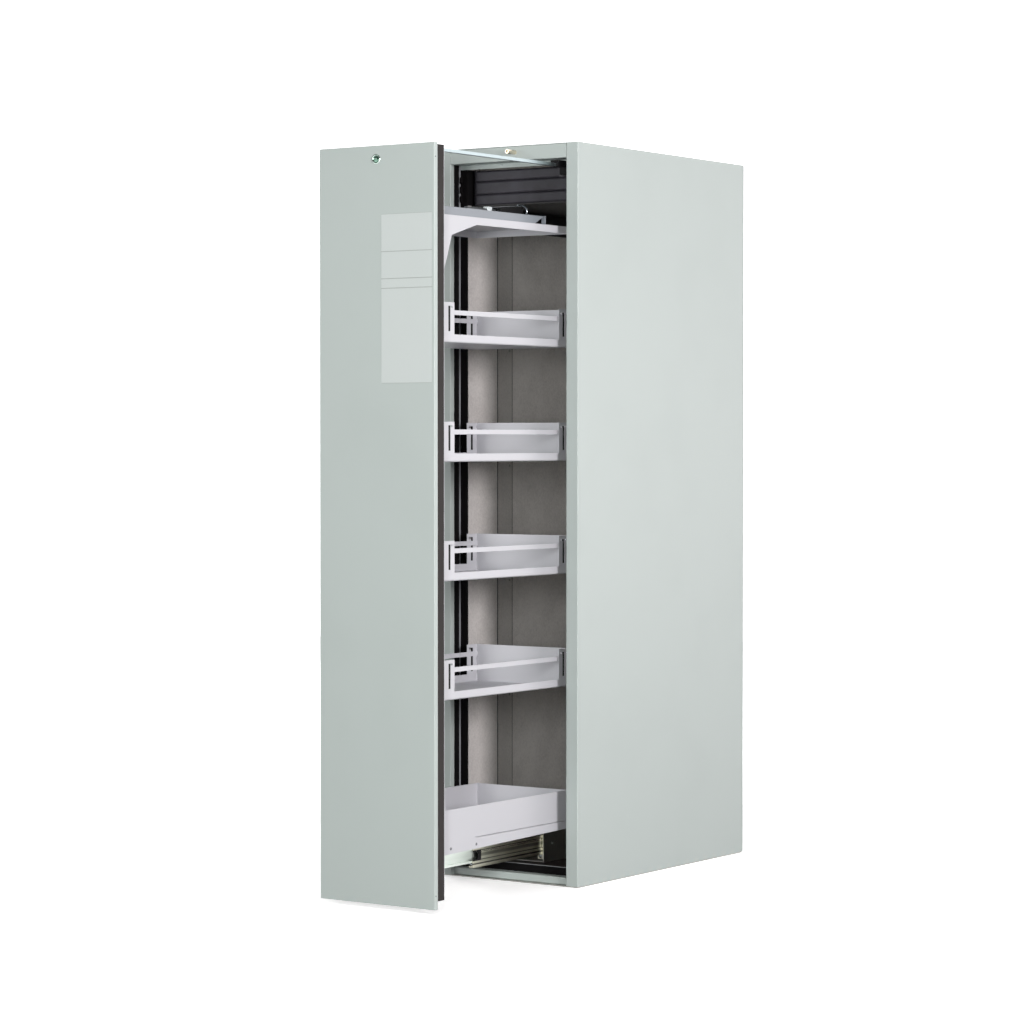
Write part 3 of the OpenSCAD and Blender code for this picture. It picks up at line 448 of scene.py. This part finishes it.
# Directions an outline is drawn along; its depth then runs to +X, to the front or upwards
SIDE_VIEW = ((0, 1, 0), (0, 0, 1))
FRONT_VIEW = ((1, 0, 0), (0, 0, 1))
PLAN = ((1, 0, 0), (0, 1, 0))
SHARP_FROM = math.radians(35)
BOX_FACES = ((0, 2, 3, 1), (4, 5, 7, 6), (0, 1, 5, 4), (2, 6, 7, 3), (0, 4, 6, 2), (1, 3, 7, 5))


def mm(*values):
    """Lengths given in millimetres, in metres: a point, a pair or a row of sizes."""
    return tuple(value * MM for value in values)


def block(bm, low, high):
    """Adds a box between two corners."""
    x, y, z = zip(low, high)
    verts = [bm.verts.new((x[i & 1], y[i >> 1 & 1], z[i >> 2 & 1])) for i in range(8)]
    for face in BOX_FACES:
        bm.faces.new([verts[i] for i in face])


def wall_sheet(bm, side, face, thick, depth, height):
    """Adds a thin sheet on one side, from a face at this distance from the middle inwards;
    depth and height are its (front, back) and (foot, top)."""
    x = sorted((side * face, side * (face - thick)))
    block(bm, (x[0], depth[0], height[0]), (x[1], depth[1], height[1]))


def frame_towards(normal):
    """A rotation that turns +Z to the given direction."""
    return Vector(UP).rotation_difference(Vector(normal)).to_matrix()


def ring(bm, at, turn, radius, height, steps):
    """Adds a ring of vertices around an axis, at a height above a point."""
    out = []
    for k in range(steps):
        a = 2 * math.pi * k / steps
        point = Vector((radius * math.cos(a), radius * math.sin(a), height))
        out.append(bm.verts.new(Vector(at) + turn @ point))
    return out


def lathe(bm, profile, at, normal, steps=20):
    """Adds a turned shape: (radius, height) pairs from the first ring to the last."""
    turn = frame_towards(normal)
    rings = [ring(bm, at, turn, radius, height, steps if radius else 1)
             for radius, height in profile]
    for a, b in zip(rings, rings[1:]):
        for k in range(steps):
            n = (k + 1) % steps
            if len(a) == 1:
                bm.faces.new((a[0], b[k], b[n]))
            elif len(b) == 1:
                bm.faces.new((a[k], b[0], a[n]))
            else:
                bm.faces.new((a[k], b[k], b[n], a[n]))


def prism(bm, outline, at, view, depth):
    """Adds an outline drawn in one view and carried through a depth."""
    right, up = Vector(view[0]), Vector(view[1])
    out = right.cross(up) * depth
    near = [bm.verts.new(Vector(at) + right * u + up * v) for u, v in outline]
    far = [bm.verts.new(v.co + out) for v in near]
    bm.faces.new(near[::-1])
    bm.faces.new(far)
    for i in range(len(near)):
        j = (i + 1) % len(near)
        bm.faces.new((near[i], near[j], far[j], far[i]))


def tube(bm, points, radius, steps=10):
    """Adds a round wire along a line of points, closed at both ends."""
    points = [Vector(p) for p in points]
    rings = []
    for i, p in enumerate(points):
        ahead = points[min(i + 1, len(points) - 1)] - points[max(i - 1, 0)]
        rings.append(ring(bm, p, frame_towards(ahead.normalized()), radius, 0, steps))
    for a, b in zip(rings, rings[1:]):
        for k in range(steps):
            n = (k + 1) % steps
            bm.faces.new((a[k], a[n], b[n], b[k]))
    bm.faces.new(rings[0][::-1])
    bm.faces.new(rings[-1])


def round_rect(low, high, radius, steps=5):
    """Outline of a rectangle with round corners."""
    points = []
    for cx, cy, start in ((high[0] - radius, low[1] + radius, -90),
                          (high[0] - radius, high[1] - radius, 0),
                          (low[0] + radius, high[1] - radius, 90),
                          (low[0] + radius, low[1] + radius, 180)):
        for k in range(steps + 1):
            a = math.radians(start + 90 * k / steps)
            points.append((cx + radius * math.cos(a), cy + radius * math.sin(a)))
    return points


def new_thing(bm, name, material):
    """Turns a mesh under construction into an object in the scene."""
    mesh = bpy.data.meshes.new(name)
    bm.to_mesh(mesh)
    bm.free()
    mesh.materials.append(material)
    thing = bpy.data.objects.new(name, mesh)
    bpy.context.scene.collection.objects.link(thing)
    return thing


def piece(bm, name, finish, body, bevel_mm=0.0):
    """Turns a mesh under construction into a finished piece that rides on a body."""
    bmesh.ops.remove_doubles(bm, verts=bm.verts, dist=1e-6)
    bmesh.ops.recalc_face_normals(bm, faces=bm.faces)
    thing = new_thing(bm, name, FINISHES[finish])
    thing.data.polygons.foreach_set("use_smooth", [True] * len(thing.data.polygons))
    thing.data.set_sharp_from_angle(angle=SHARP_FROM)
    if bevel_mm:
        rounding = thing.modifiers.new("rounded edges", "BEVEL")
        rounding.width = bevel_mm * MM
        rounding.segments = 2
        rounding.limit_method = "ANGLE"
    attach(thing, body)
    return thing


def screw(bm, at, normal, radius):
    """Adds a pan-head screw with a hexagon socket."""
    height, socket = 0.62 * radius, 0.5 * radius
    lathe(bm, [(radius, -0.2 * MM), (radius, 0.25 * height), (0.9 * radius, 0.7 * height),
               (0.66 * radius, height), (socket, height)], at, normal)
    lathe(bm, [(socket, height), (0.46 * radius, 0.35 * height), (0, 0.35 * height)],
          at, normal, steps=6)


def flush_screw(bm, at, normal, radius):
    """Adds a countersunk screw's flat head, level with the sheet, with its driver recess."""
    face, recess = 0.03 * MM, 0.01 * MM
    lathe(bm, [(radius, -0.3 * MM), (radius, 0.0), (0.94 * radius, face),
               (0.55 * radius, face), (0.5 * radius, recess), (0, recess)], at, normal)


def rivet(bm, at, normal, radius):
    """Adds a blind rivet's domed head with the dimple left by its broken stem."""
    height = 0.45 * radius
    lathe(bm, [(radius, -0.2 * MM), (radius, 0.1 * height), (0.85 * radius, 0.6 * height),
               (0.5 * radius, height), (0.3 * radius, height), (0.26 * radius, 0.55 * height),
               (0, 0.55 * height)], at, normal, steps=18)


def dress(finish, *names):
    """Gives CAD nodes their finish."""
    for name in names:
        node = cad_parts[name]
        node.data.materials.clear()
        node.data.materials.append(FINISHES[finish])


def corners(name):
    """Lowest and highest corner of a CAD node."""
    low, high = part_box(name)
    return Vector(low), Vector(high)


# Operators


class CabinetOperator:
    """Shared settings of the operators that make the cabinet."""

    bl_options = {"REGISTER", "UNDO"}


class CABINET_OT_finishes(CabinetOperator, bpy.types.Operator):
    """Make all finishes"""

    bl_idname = "cabinet.finishes"
    bl_label = "Finishes"

    def execute(self, context):
        make_finishes(context.scene.cabinet_finish)
        return {"FINISHED"}


class CABINET_OT_casing(CabinetOperator, bpy.types.Operator):
    """Dress the casing and add the screws of its back, the collar's screws and its seal bead"""

    bl_idname = "cabinet.casing"
    bl_label = "Casing"

    def execute(self, context):
        dress("casing", "side_skin_left", "side_skin_right", "top_skin", "rear_skin", "top_rail",
              "sill_rail")
        dress("board", "insulation_left", "insulation_right", "insulation_roof", "insulation_head",
              "insulation_head_top", "insulation_rear", "insulation_base")
        dress("zinc", "base_pan")
        dress("bright", "exhaust_collar")

        head = context.scene.cabinet_sizes.screw_head
        low, high = corners("rear_skin")
        side_edge, side_end, side_rows = 18 * MM, 60 * MM, 9
        end_edge, end_gaps = 30 * MM, 4
        bm = bmesh.new()
        for x in (low.x + side_edge, high.x - side_edge):
            for k in range(side_rows):
                z = low.z + side_end + k * (high.z - low.z - 2 * side_end) / (side_rows - 1)
                flush_screw(bm, (x, high.y, z), TO_BACK, head)
        for k in range(1, end_gaps):
            x = low.x + k * (high.x - low.x) / end_gaps
            for z in (low.z + end_edge, high.z - end_edge):
                flush_screw(bm, (x, high.y, z), TO_BACK, head)
        piece(bm, "rear_screws", "plain_steel", "carcass")

        low, high = corners("exhaust_collar")
        centre = (low + high) / 2
        flange_top = corners("top_skin")[1].z + 2 * MM
        reach = (high.x - low.x) / 2 - 6 * MM
        bm = bmesh.new()
        for k in range(4):
            a = math.radians(45 + 90 * k)
            at = (centre.x + reach * math.cos(a), centre.y + reach * math.sin(a), flange_top)
            screw(bm, at, UP, radius=2.8 * MM)
        piece(bm, "collar_screws", "bright", "carcass")

        spout, drop = 37.5 * MM, 9 * MM
        bead = (mm(0.1, 0), mm(1.2, 0.5), mm(1.6, 1.6), mm(1.2, 2.7), mm(0.1, 3.2))
        bm = bmesh.new()
        lathe(bm, [(spout + out, height) for out, height in bead],
              (centre.x, centre.y, high.z - drop), UP, steps=64)
        piece(bm, "collar_bead", "seal", "carcass")
        return {"FINISHED"}


class CABINET_OT_opening(CabinetOperator, bpy.types.Operator):
    """Dress the front opening and add the gasket's lips, head liners, floor edge and lip screws"""

    bl_idname = "cabinet.opening"
    bl_label = "Opening and seals"

    def execute(self, context):
        dress("seal", "fire_strips", "door_gasket")
        dress("edge_metal", "edge_trims")
        dress("stud", "release_stud")

        low, high = corners("door_gasket")
        lip_insets, lip_radius, lip_out = mm(2.6, 6.2), 1.2 * MM, 0.6 * MM
        lip_foot, lip_top = low.z + 24 * MM, high.z - 2 * MM
        # Three round pads stand one above the other beside the head, on each side
        pad_x, pad_out, pad_foot, pad_pitch = mm(183.5, 4.3, 1835, 25.5)
        pad = [mm(0, -10), mm(2.4, -8.5), mm(3.4, -5), mm(3.4, 5), mm(2.4, 8.5), mm(0, 10)]
        bm = bmesh.new()
        for side in BOTH_SIDES:
            for inset in lip_insets:
                x = side * (high.x - inset)
                tube(bm, [(x, low.y - lip_out, lip_foot), (x, low.y - lip_out, lip_top)],
                     lip_radius, steps=8)
        for side in BOTH_SIDES:
            for k in range(3):
                at = (side * pad_x, low.y - pad_out, pad_foot + pad_pitch * k)
                lathe(bm, pad, at, UP, steps=14)
        piece(bm, "gasket_lips", "seal", "carcass")

        liner_face, liner_thick = mm(167.5, 0.8)
        liner_depth, liner_height = mm(-378.5, -322), mm(1818.2, 1913.8)
        bm = bmesh.new()
        for side in BOTH_SIDES:
            wall_sheet(bm, side, liner_face, liner_thick, liner_depth, liner_height)
        piece(bm, "head_liners", "seal", "carcass", bevel_mm=0.2)

        low, high = corners("lining_floor")
        end_gap, proud, foot_gap, lap = mm(0.5, 0.6, 0.3, 0.1)
        bm = bmesh.new()
        block(bm, (low.x + end_gap, low.y - proud, low.z + foot_gap),
              (high.x - end_gap, low.y + lap, high.z + lap))
        piece(bm, "floor_edge_strip", "edge_metal", "carcass", bevel_mm=0.2)

        rail = corners("top_rail")[0]
        lip_face, above_foot = rail.y + 48.1 * MM, rail.z + 7 * MM
        bm = bmesh.new()
        for x in mm(-52, 60):
            screw(bm, (x, lip_face, above_foot), TO_FRONT, radius=2.2 * MM)
        piece(bm, "lip_screws", "bright", "carcass")
        return {"FINISHED"}


class CABINET_OT_linings(CabinetOperator, bpy.types.Operator):
    """Dress the storage space; add cover strips, their painted shadow lines, painted head shade,
    screws
    """

    bl_idname = "cabinet.linings"
    bl_label = "Linings and head"

    def execute(self, context):
        dress("lining", "lining_left", "lining_right")
        # The rear board gets the lighter copy: painted light
        dress("lining_pale", "lining_rear")
        dress("floor_lining", "lining_floor")
        dress("black", "head_block", "vent_duct")
        dress("black_steel", "head_rail", "lining_ceiling")

        low, high = corners("lining_left")
        face, rear = -high.x, corners("lining_rear")[0].y
        strip_thick, strip_front, strip_back = mm(1.0, -240, -172)
        strip_height = (low.z + 20 * MM, 1756.8 * MM)
        bm = bmesh.new()
        for side in BOTH_SIDES:
            wall_sheet(bm, side, face, strip_thick, (strip_front, strip_back), strip_height)
        piece(bm, "wall_strips", "lining_strip", "carcass", bevel_mm=0.3)

        # Black strips along both edges of each cover strip: painted shadow lines beside it
        shadow_line_thick, shadow_line = mm(1.2, 1.8)
        bm = bmesh.new()
        for side in BOTH_SIDES:
            for front in (strip_front - shadow_line, strip_back):
                wall_sheet(bm, side, face, shadow_line_thick, (front, front + shadow_line), strip_height)
        piece(bm, "wall_shadow_lines", "seal", "carcass", bevel_mm=0.3)

        # Black sheets on the side linings above the top shelf: painted shade of the unlit head
        # space
        band_thick, band_gap = mm(0.7, 0.2)
        band_depth = (low.y + band_gap, rear - band_gap)
        band_height = (1757 * MM, high.z - 3.2 * MM)
        bm = bmesh.new()
        for side in BOTH_SIDES:
            wall_sheet(bm, side, face, band_thick, band_depth, band_height)
        piece(bm, "head_shade_sheets", "black_steel", "carcass", bevel_mm=0.1)

        head = context.scene.cabinet_sizes.screw_head
        first, pitch = low.z + 120 * MM, 317 * MM
        columns = ((-185 * MM, strip_thick), (rear - 90 * MM, 0))
        bm = bmesh.new()
        for side in BOTH_SIDES:
            for y, lift in columns:
                for k in range(6):
                    screw(bm, (side * (face - lift), y, first + k * pitch), (-side, 0, 0), head)
        piece(bm, "lining_screws", "zinc", "carcass")
        return {"FINISHED"}


class CABINET_OT_floor_slides(CabinetOperator, bpy.types.Operator):
    """Dress the telescopic slides and add the channel's bolts and the middle members' stops"""

    bl_idname = "cabinet.floor_slides"
    bl_label = "Telescopic slides"

    def execute(self, context):
        dress("zinc", "slide_channel", "chassis_beam")
        dress("passivated", "slide_fixed_left", "slide_fixed_right", "slide_middle_left",
              "slide_middle_right")
        dress("inner_steel", "slide_inner_left", "slide_inner_right")
        dress("bright", "ball_cages_outer", "ball_cages_inner")

        low, high = corners("slide_channel")
        first, pitch, radius = mm(40, 180, 3.2)
        bm = bmesh.new()
        for side in BOTH_SIDES:
            for k in range(4):
                at = (side * high.x, low.y + first + pitch * k, (low.z + high.z) / 2)
                screw(bm, at, (side, 0, 0), radius)
        piece(bm, "channel_bolts", "plain_steel", "carcass")

        # Each stop is a block with a round hollow in its front, between two arms
        front, rear, foot, top = mm(-655.5, -619.2, 82.9, 111.1)
        arm, throat, bulge, thick = mm(3.2, 17, 7, 2.1)
        outline = [(front, foot), (rear, foot), (rear, top), (front, top), (front, top - arm)]
        for degrees in range(0, 181, 15):
            a = math.radians(degrees)
            outline.append((front + throat + bulge * math.sin(a),
                            (foot + top) / 2 + (0.5 * (top - foot) - arm) * math.cos(a)))
        outline.append((front, foot + arm))
        bm = bmesh.new()
        for x in mm(44.8, -46.9):
            prism(bm, outline, (x, 0, 0), SIDE_VIEW, thick)
        piece(bm, "slide_stops", "slider", "slide_middles", bevel_mm=0.3)
        return {"FINISHED"}


class CABINET_OT_drawer_front(CabinetOperator, bpy.types.Operator):
    """Dress the drawer front and add the lock's rose and core, the rivets and the film plate"""

    bl_idname = "cabinet.drawer_front"
    bl_label = "Drawer front"

    def execute(self, context):
        dress("casing", "front_skin")
        dress("board_edge", "front_core")
        dress("white", "front_plate")
        dress("bright", "lock_body", "lock_cam")

        low, high = corners("lock_body")
        centre = (low + high) / 2
        seat = low.y + 2 * MM
        # The rose and the core are turned shapes, drawn from the bore or the middle outwards
        bore, flange, rear = mm(9.08, 13.0, -26)
        barrel = (high.x - low.x) / 2 - 2.6 * MM
        bm = bmesh.new()
        lathe(bm, [(bore, rear), (barrel, rear), (barrel, -0.2 * MM), (flange, -0.2 * MM),
                   (flange, 0.3 * MM), mm(12.5, 1.1), mm(11.5, 1.75), mm(10.5, 1.95),
                   mm(9.7, 1.6), mm(9.2, 0.9), (bore, rear)],
              (centre.x, seat, centre.z), TO_FRONT, steps=48)
        rose = piece(bm, "lock_rose", "chrome", "drawer")
        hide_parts("lock_body")
        bm = bmesh.new()
        lathe(bm, [mm(0, -28), mm(9.0, -28), mm(9.0, 0.2), mm(8.3, 1.0), mm(7.5, 0.5),
                   mm(6.9, 0.6), mm(5.4, 1.5), mm(3.2, 1.9), mm(0, 1.95)],
              (centre.x, seat, centre.z), TO_FRONT, steps=48)
        plug = piece(bm, "lock_core", "green", "lock")
        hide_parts("lock_plug")
        half_wide, half_high = mm(0.8, 3.6)
        bm = bmesh.new()
        slot = round_rect((-half_wide, -half_high), (half_wide, half_high), 0.7 * MM, steps=4)
        prism(bm, slot, (centre.x, low.y + 1.0 * MM, centre.z), FRONT_VIEW, 0.99 * MM)
        piece(bm, "lock_keyway", "slider", "lock")

        low, high = corners("front_skin")
        bm = bmesh.new()
        for side in BOTH_SIDES:
            for z in mm(1886, 46):
                rivet(bm, (side * high.x, -1005 * MM, z), (side, 0, 0), radius=1.9 * MM)
        piece(bm, "fold_rivets", "plain_steel", "drawer")

        # The plate is a thin base with raised fields, parted by three narrow joints
        sizes = context.scene.cabinet_sizes
        base_thick, side_gap, joint_half = mm(0.3, 0.2, 0.9)
        bm = bmesh.new()
        prism(bm, round_rect((sizes.film_left, sizes.film_foot),
                             (sizes.film_right, sizes.film_top), 2.5 * MM),
              (0, low.y, 0), FRONT_VIEW, base_thick)
        piece(bm, "film_base", "film_edge", "drawer")
        edges = [sizes.film_foot, *mm(1563, 1587, 1655), sizes.film_top]
        bm = bmesh.new()
        for foot, top in zip(edges, edges[1:]):
            prism(bm, round_rect((sizes.film_left + side_gap, foot + joint_half),
                                 (sizes.film_right - side_gap, top - joint_half), 1.2 * MM),
                  (0, low.y - base_thick, 0), FRONT_VIEW, sizes.film_thick - base_thick)
        piece(bm, "film_fields", "film", "drawer", bevel_mm=0.15)
        return {"FINISHED"}


class CABINET_OT_chassis(CabinetOperator, bpy.types.Operator):
    """Dress the drawer's chassis and add its rivets and the closer's small gear"""

    bl_idname = "cabinet.chassis"
    bl_label = "Drawer chassis"

    def execute(self, context):
        dress("white", "chassis_side_left", "chassis_side_right", "base_frame", "top_shelf",
              "front_uprights")
        dress("housing", "closer_housing")
        dress("plain_steel", "soft_close_damper")
        bm = bmesh.new()
        for side in BOTH_SIDES:
            for y in mm(-899, -787):
                rivet(bm, (side * 150 * MM, y, 150.5 * MM), (side, 0, 0), radius=3.9 * MM)
        piece(bm, "flange_rivets", "plain_steel", "drawer")

        # The closer's gear stands on the top shelf: points in millimetres, front to back
        bm = bmesh.new()
        block(bm, mm(52, -626, 1771.2), mm(72, -596, 1778))
        block(bm, mm(55, -622, 1777.5), mm(69, -600, 1790.5))
        piece(bm, "closer_clip", "clip", "drawer", bevel_mm=1.6)
        bm = bmesh.new()
        tube(bm, [mm(62, -600, 1788.5), mm(66, -590, 1790), mm(78, -562, 1793),
                  mm(86, -530, 1795.5), mm(90, -502, 1797)], 1.9 * MM, steps=12)
        piece(bm, "closer_rod", "plain_steel", "drawer")
        bm = bmesh.new()
        prism(bm, [mm(-600, 1771), mm(-497, 1771), mm(-497, 1794.5), mm(-520, 1796),
                   mm(-560, 1790), mm(-600, 1785)], mm(84, 0, 0), SIDE_VIEW, 12 * MM)
        piece(bm, "closer_block", "slider", "drawer", bevel_mm=1.2)
        bm = bmesh.new()
        tube(bm, [mm(90, -514, 1798.5), mm(90, -502, 1800.5), mm(90, -490, 1800.5),
                  mm(90, -480, 1798), mm(90, -473, 1792.5), mm(90, -470, 1785.5),
                  mm(90, -472, 1780)], 2.5 * MM, steps=14)
        piece(bm, "closer_lever", "bright", "drawer")
        bm = bmesh.new()
        block(bm, mm(118, -443.5, 1749), mm(131, -442, 1773.5))
        block(bm, mm(118, -442.5, 1749), mm(131, -424, 1750.5))
        piece(bm, "housing_tab", "housing", "drawer", bevel_mm=0.3)
        return {"FINISHED"}


class CABINET_OT_trays(CabinetOperator, bpy.types.Operator):
    """Dress the trays and add black plates of painted shade in their slots, and end screws"""

    bl_idname = "cabinet.trays"
    bl_label = "Trays"

    def execute(self, context):
        trays = ("tray_1", "tray_2", "tray_3", "tray_4")
        dress("white", *trays, "tray_rails", "sump_tray")
        foot_drop, top_drop, slot_near, slot_far, gap = mm(73, 9, 20.1, 28.9, 0.1)
        # Black plates fill the trays' slots: painted shade seen through them
        slot_shade_face, slot_shade_thick = mm(149.3, 0.7)
        slot_shades, screws = bmesh.new(), bmesh.new()
        for name in trays:
            low, high = corners(name)
            height = (high.z - foot_drop + gap, high.z - top_drop - gap)
            for side in BOTH_SIDES:
                for depth in ((low.y + slot_near, low.y + slot_far),
                              (high.y - slot_far, high.y - slot_near)):
                    wall_sheet(slot_shades, side, slot_shade_face, slot_shade_thick, depth, height)
                at = (side * 150 * MM, high.y - 11 * MM, high.z - top_drop - 2 * MM)
                screw(screws, at, (side, 0, 0), radius=2.6 * MM)
        piece(slot_shades, "slot_shade_plates", "slider", "drawer", bevel_mm=0.1)
        piece(screws, "tray_screws", "bright", "drawer")
        return {"FINISHED"}


class CABINET_OT_upper_guide(CabinetOperator, bpy.types.Operator):
    """Dress the upper guide bar and its slider"""

    bl_idname = "cabinet.upper_guide"
    bl_label = "Upper guide"

    def execute(self, context):
        dress("bar_steel", "guide_bar")
        dress("slider", "guide_slider")
        return {"FINISHED"}


# Studio

NEUTRAL, WARM = (1.0, 1.0, 1.0), (1.0, 0.955, 0.975)
# Each soft box: name, place, point it is aimed at, width and height in metres, watts, colour
SOFT_BOXES = (
    ("soft_box_above", (0.4, -0.8, 5.2), (0.2, -0.4, 0), (6.0, 6.0), 90, NEUTRAL),
    ("soft_box_right", (7.12, -3.25, 2.4), (0.1, -0.5, 0.95), (1.5, 2.4), 438, WARM),
    ("soft_box_front", (3.0, -6.6, 1.5), (0, -0.4, 1.0), (1.0, 1.4), 230, NEUTRAL),
    ("soft_box_left", (-4.0, -6.4, 2.0), (0, -0.4, 1.0), (3.0, 3.0), 72, NEUTRAL),
    ("soft_box_rear_left", (-6.5, 3.2, 2.6), (0, 0, 1.0), (2.5, 2.5), 300, NEUTRAL),
    ("soft_box_rear", (4.8, 6.2, 1.3), (0, 0.3, 0.9), (3.2, 2.2), 60, WARM),
)


def area_light(name, place, target, size, power, colour):
    """A soft box aimed at a point."""
    lamp = bpy.data.lights.new(name, "AREA")
    lamp.shape = "RECTANGLE"
    lamp.size, lamp.size_y = size
    lamp.energy = power
    lamp.color = colour
    thing = bpy.data.objects.new(name, lamp)
    bpy.context.scene.collection.objects.link(thing)
    thing.location = place
    aim = Vector(target) - Vector(place)
    thing.rotation_euler = aim.to_track_quat("-Z", "Y").to_euler()


def studio_air(name, strength):
    """Stray light of the studio: pale grey all round, a little lighter above."""
    world = bpy.data.worlds.new(name)
    world.use_nodes = True
    tree = world.node_tree
    where = add(tree, "ShaderNodeTexCoord").outputs["Generated"]
    height = add(tree, "ShaderNodeSeparateXYZ", links={"Vector": where}).outputs["Z"]
    fade = add(tree, "ShaderNodeMapRange", {"From Min": -0.4, "From Max": 0.5},
               {"Value": height})
    tone = add(tree, "ShaderNodeValToRGB", links={"Fac": fade.outputs["Result"]})
    stops(tone, (0.0, grey(0.9)), (0.45, grey(0.85)), (1.0, grey(1.0)))
    tree.links.new(tone.outputs["Color"], tree.nodes["Background"].inputs["Color"])
    tree.nodes["Background"].inputs["Strength"].default_value = strength
    return world


class CABINET_OT_stage(CabinetOperator, bpy.types.Operator):
    """Lay the pale floor, curve the paper wall, set the soft boxes and place the camera"""

    bl_idname = "cabinet.stage"
    bl_label = "Studio"

    def execute(self, context):
        scene = context.scene
        props = scene.cabinet_stage
        half, corner, thick = 30.0, 6.0, 0.02
        bm = bmesh.new()
        outline = round_rect((-half, -half), (half, half), corner, steps=8)
        prism(bm, outline, (0, 0, -thick), PLAN, thick)
        paint = studio_floor("studio floor, matt white", props.floor)
        floor = new_thing(bm, "studio_floor", paint)
        floor.visible_diffuse = False

        scene.world = studio_air("studio_air", props.air)
        scene.view_settings.view_transform = "Standard"
        for box in SOFT_BOXES:
            area_light(*box)

        # The wall is a curved sweep behind the cabinet, wider than it is deep
        reach, widen, foot, top = 9.0, 1.3, -0.01, 9.0
        bm = bmesh.new()
        posts = []
        for degrees in range(-80, 81, 8):
            a = math.radians(degrees)
            x, y = reach * math.sin(a) * widen, reach * math.cos(a)
            posts.append((bm.verts.new((x, y, foot)), bm.verts.new((x, y, top))))
        for a, b in zip(posts, posts[1:]):
            bm.faces.new((a[0], b[0], b[1], a[1]))
        paper = studio_wall("studio wall, lit white paper", props.floor)
        wall = new_thing(bm, "studio_wall", paper)
        wall.visible_diffuse = False

        camera = bpy.data.cameras.new("photo_camera")
        camera.sensor_width = 36
        camera.lens = props.lens
        camera.clip_end = 200
        thing = bpy.data.objects.new("photo_camera", camera)
        thing.location = props.camera
        thing.rotation_euler = (math.radians(90) + props.tilt, 0, props.heading)
        scene.collection.objects.link(thing)
        scene.camera = thing
        return {"FINISHED"}


class CABINET_PT_panel(bpy.types.Panel):
    """Cabinet pieces and studio"""

    bl_label = "Storage Cabinet"
    bl_idname = "CABINET_PT_panel"
    bl_space_type = "VIEW_3D"
    bl_region_type = "UI"
    bl_category = "Cabinet"

    def draw(self, context):
        layout = self.layout
        for name in STEPS:
            layout.operator("cabinet." + name)
        for group in ("cabinet_finish", "cabinet_sizes", "cabinet_stage"):
            props = getattr(context.scene, group)
            box = layout.box()
            for key in type(props).__annotations__:
                box.prop(props, key)


STEPS = ("finishes", "casing", "opening", "linings", "floor_slides", "drawer_front", "chassis",
         "trays", "upper_guide", "stage")
CLASSES = (
    CabinetFinish, CabinetSizes, CabinetStage, CABINET_OT_finishes, CABINET_OT_casing,
    CABINET_OT_opening, CABINET_OT_linings, CABINET_OT_floor_slides, CABINET_OT_drawer_front,
    CABINET_OT_chassis, CABINET_OT_trays, CABINET_OT_upper_guide, CABINET_OT_stage,
    CABINET_PT_panel,
)


def register():
    """Registers the classes and hangs their settings on the scene."""
    for item in CLASSES:
        bpy.utils.register_class(item)
    bpy.types.Scene.cabinet_finish = PointerProperty(type=CabinetFinish)
    bpy.types.Scene.cabinet_sizes = PointerProperty(type=CabinetSizes)
    bpy.types.Scene.cabinet_stage = PointerProperty(type=CabinetStage)


def unregister():
    """Takes the settings and the classes away again."""
    del bpy.types.Scene.cabinet_finish
    del bpy.types.Scene.cabinet_sizes
    del bpy.types.Scene.cabinet_stage
    for item in reversed(CLASSES):
        bpy.utils.unregister_class(item)


def main():
    """Registers the add-on and makes every piece in order."""
    register()
    for name in STEPS:
        getattr(bpy.ops.cabinet, name)()


if __name__ == "__main__":
    main()
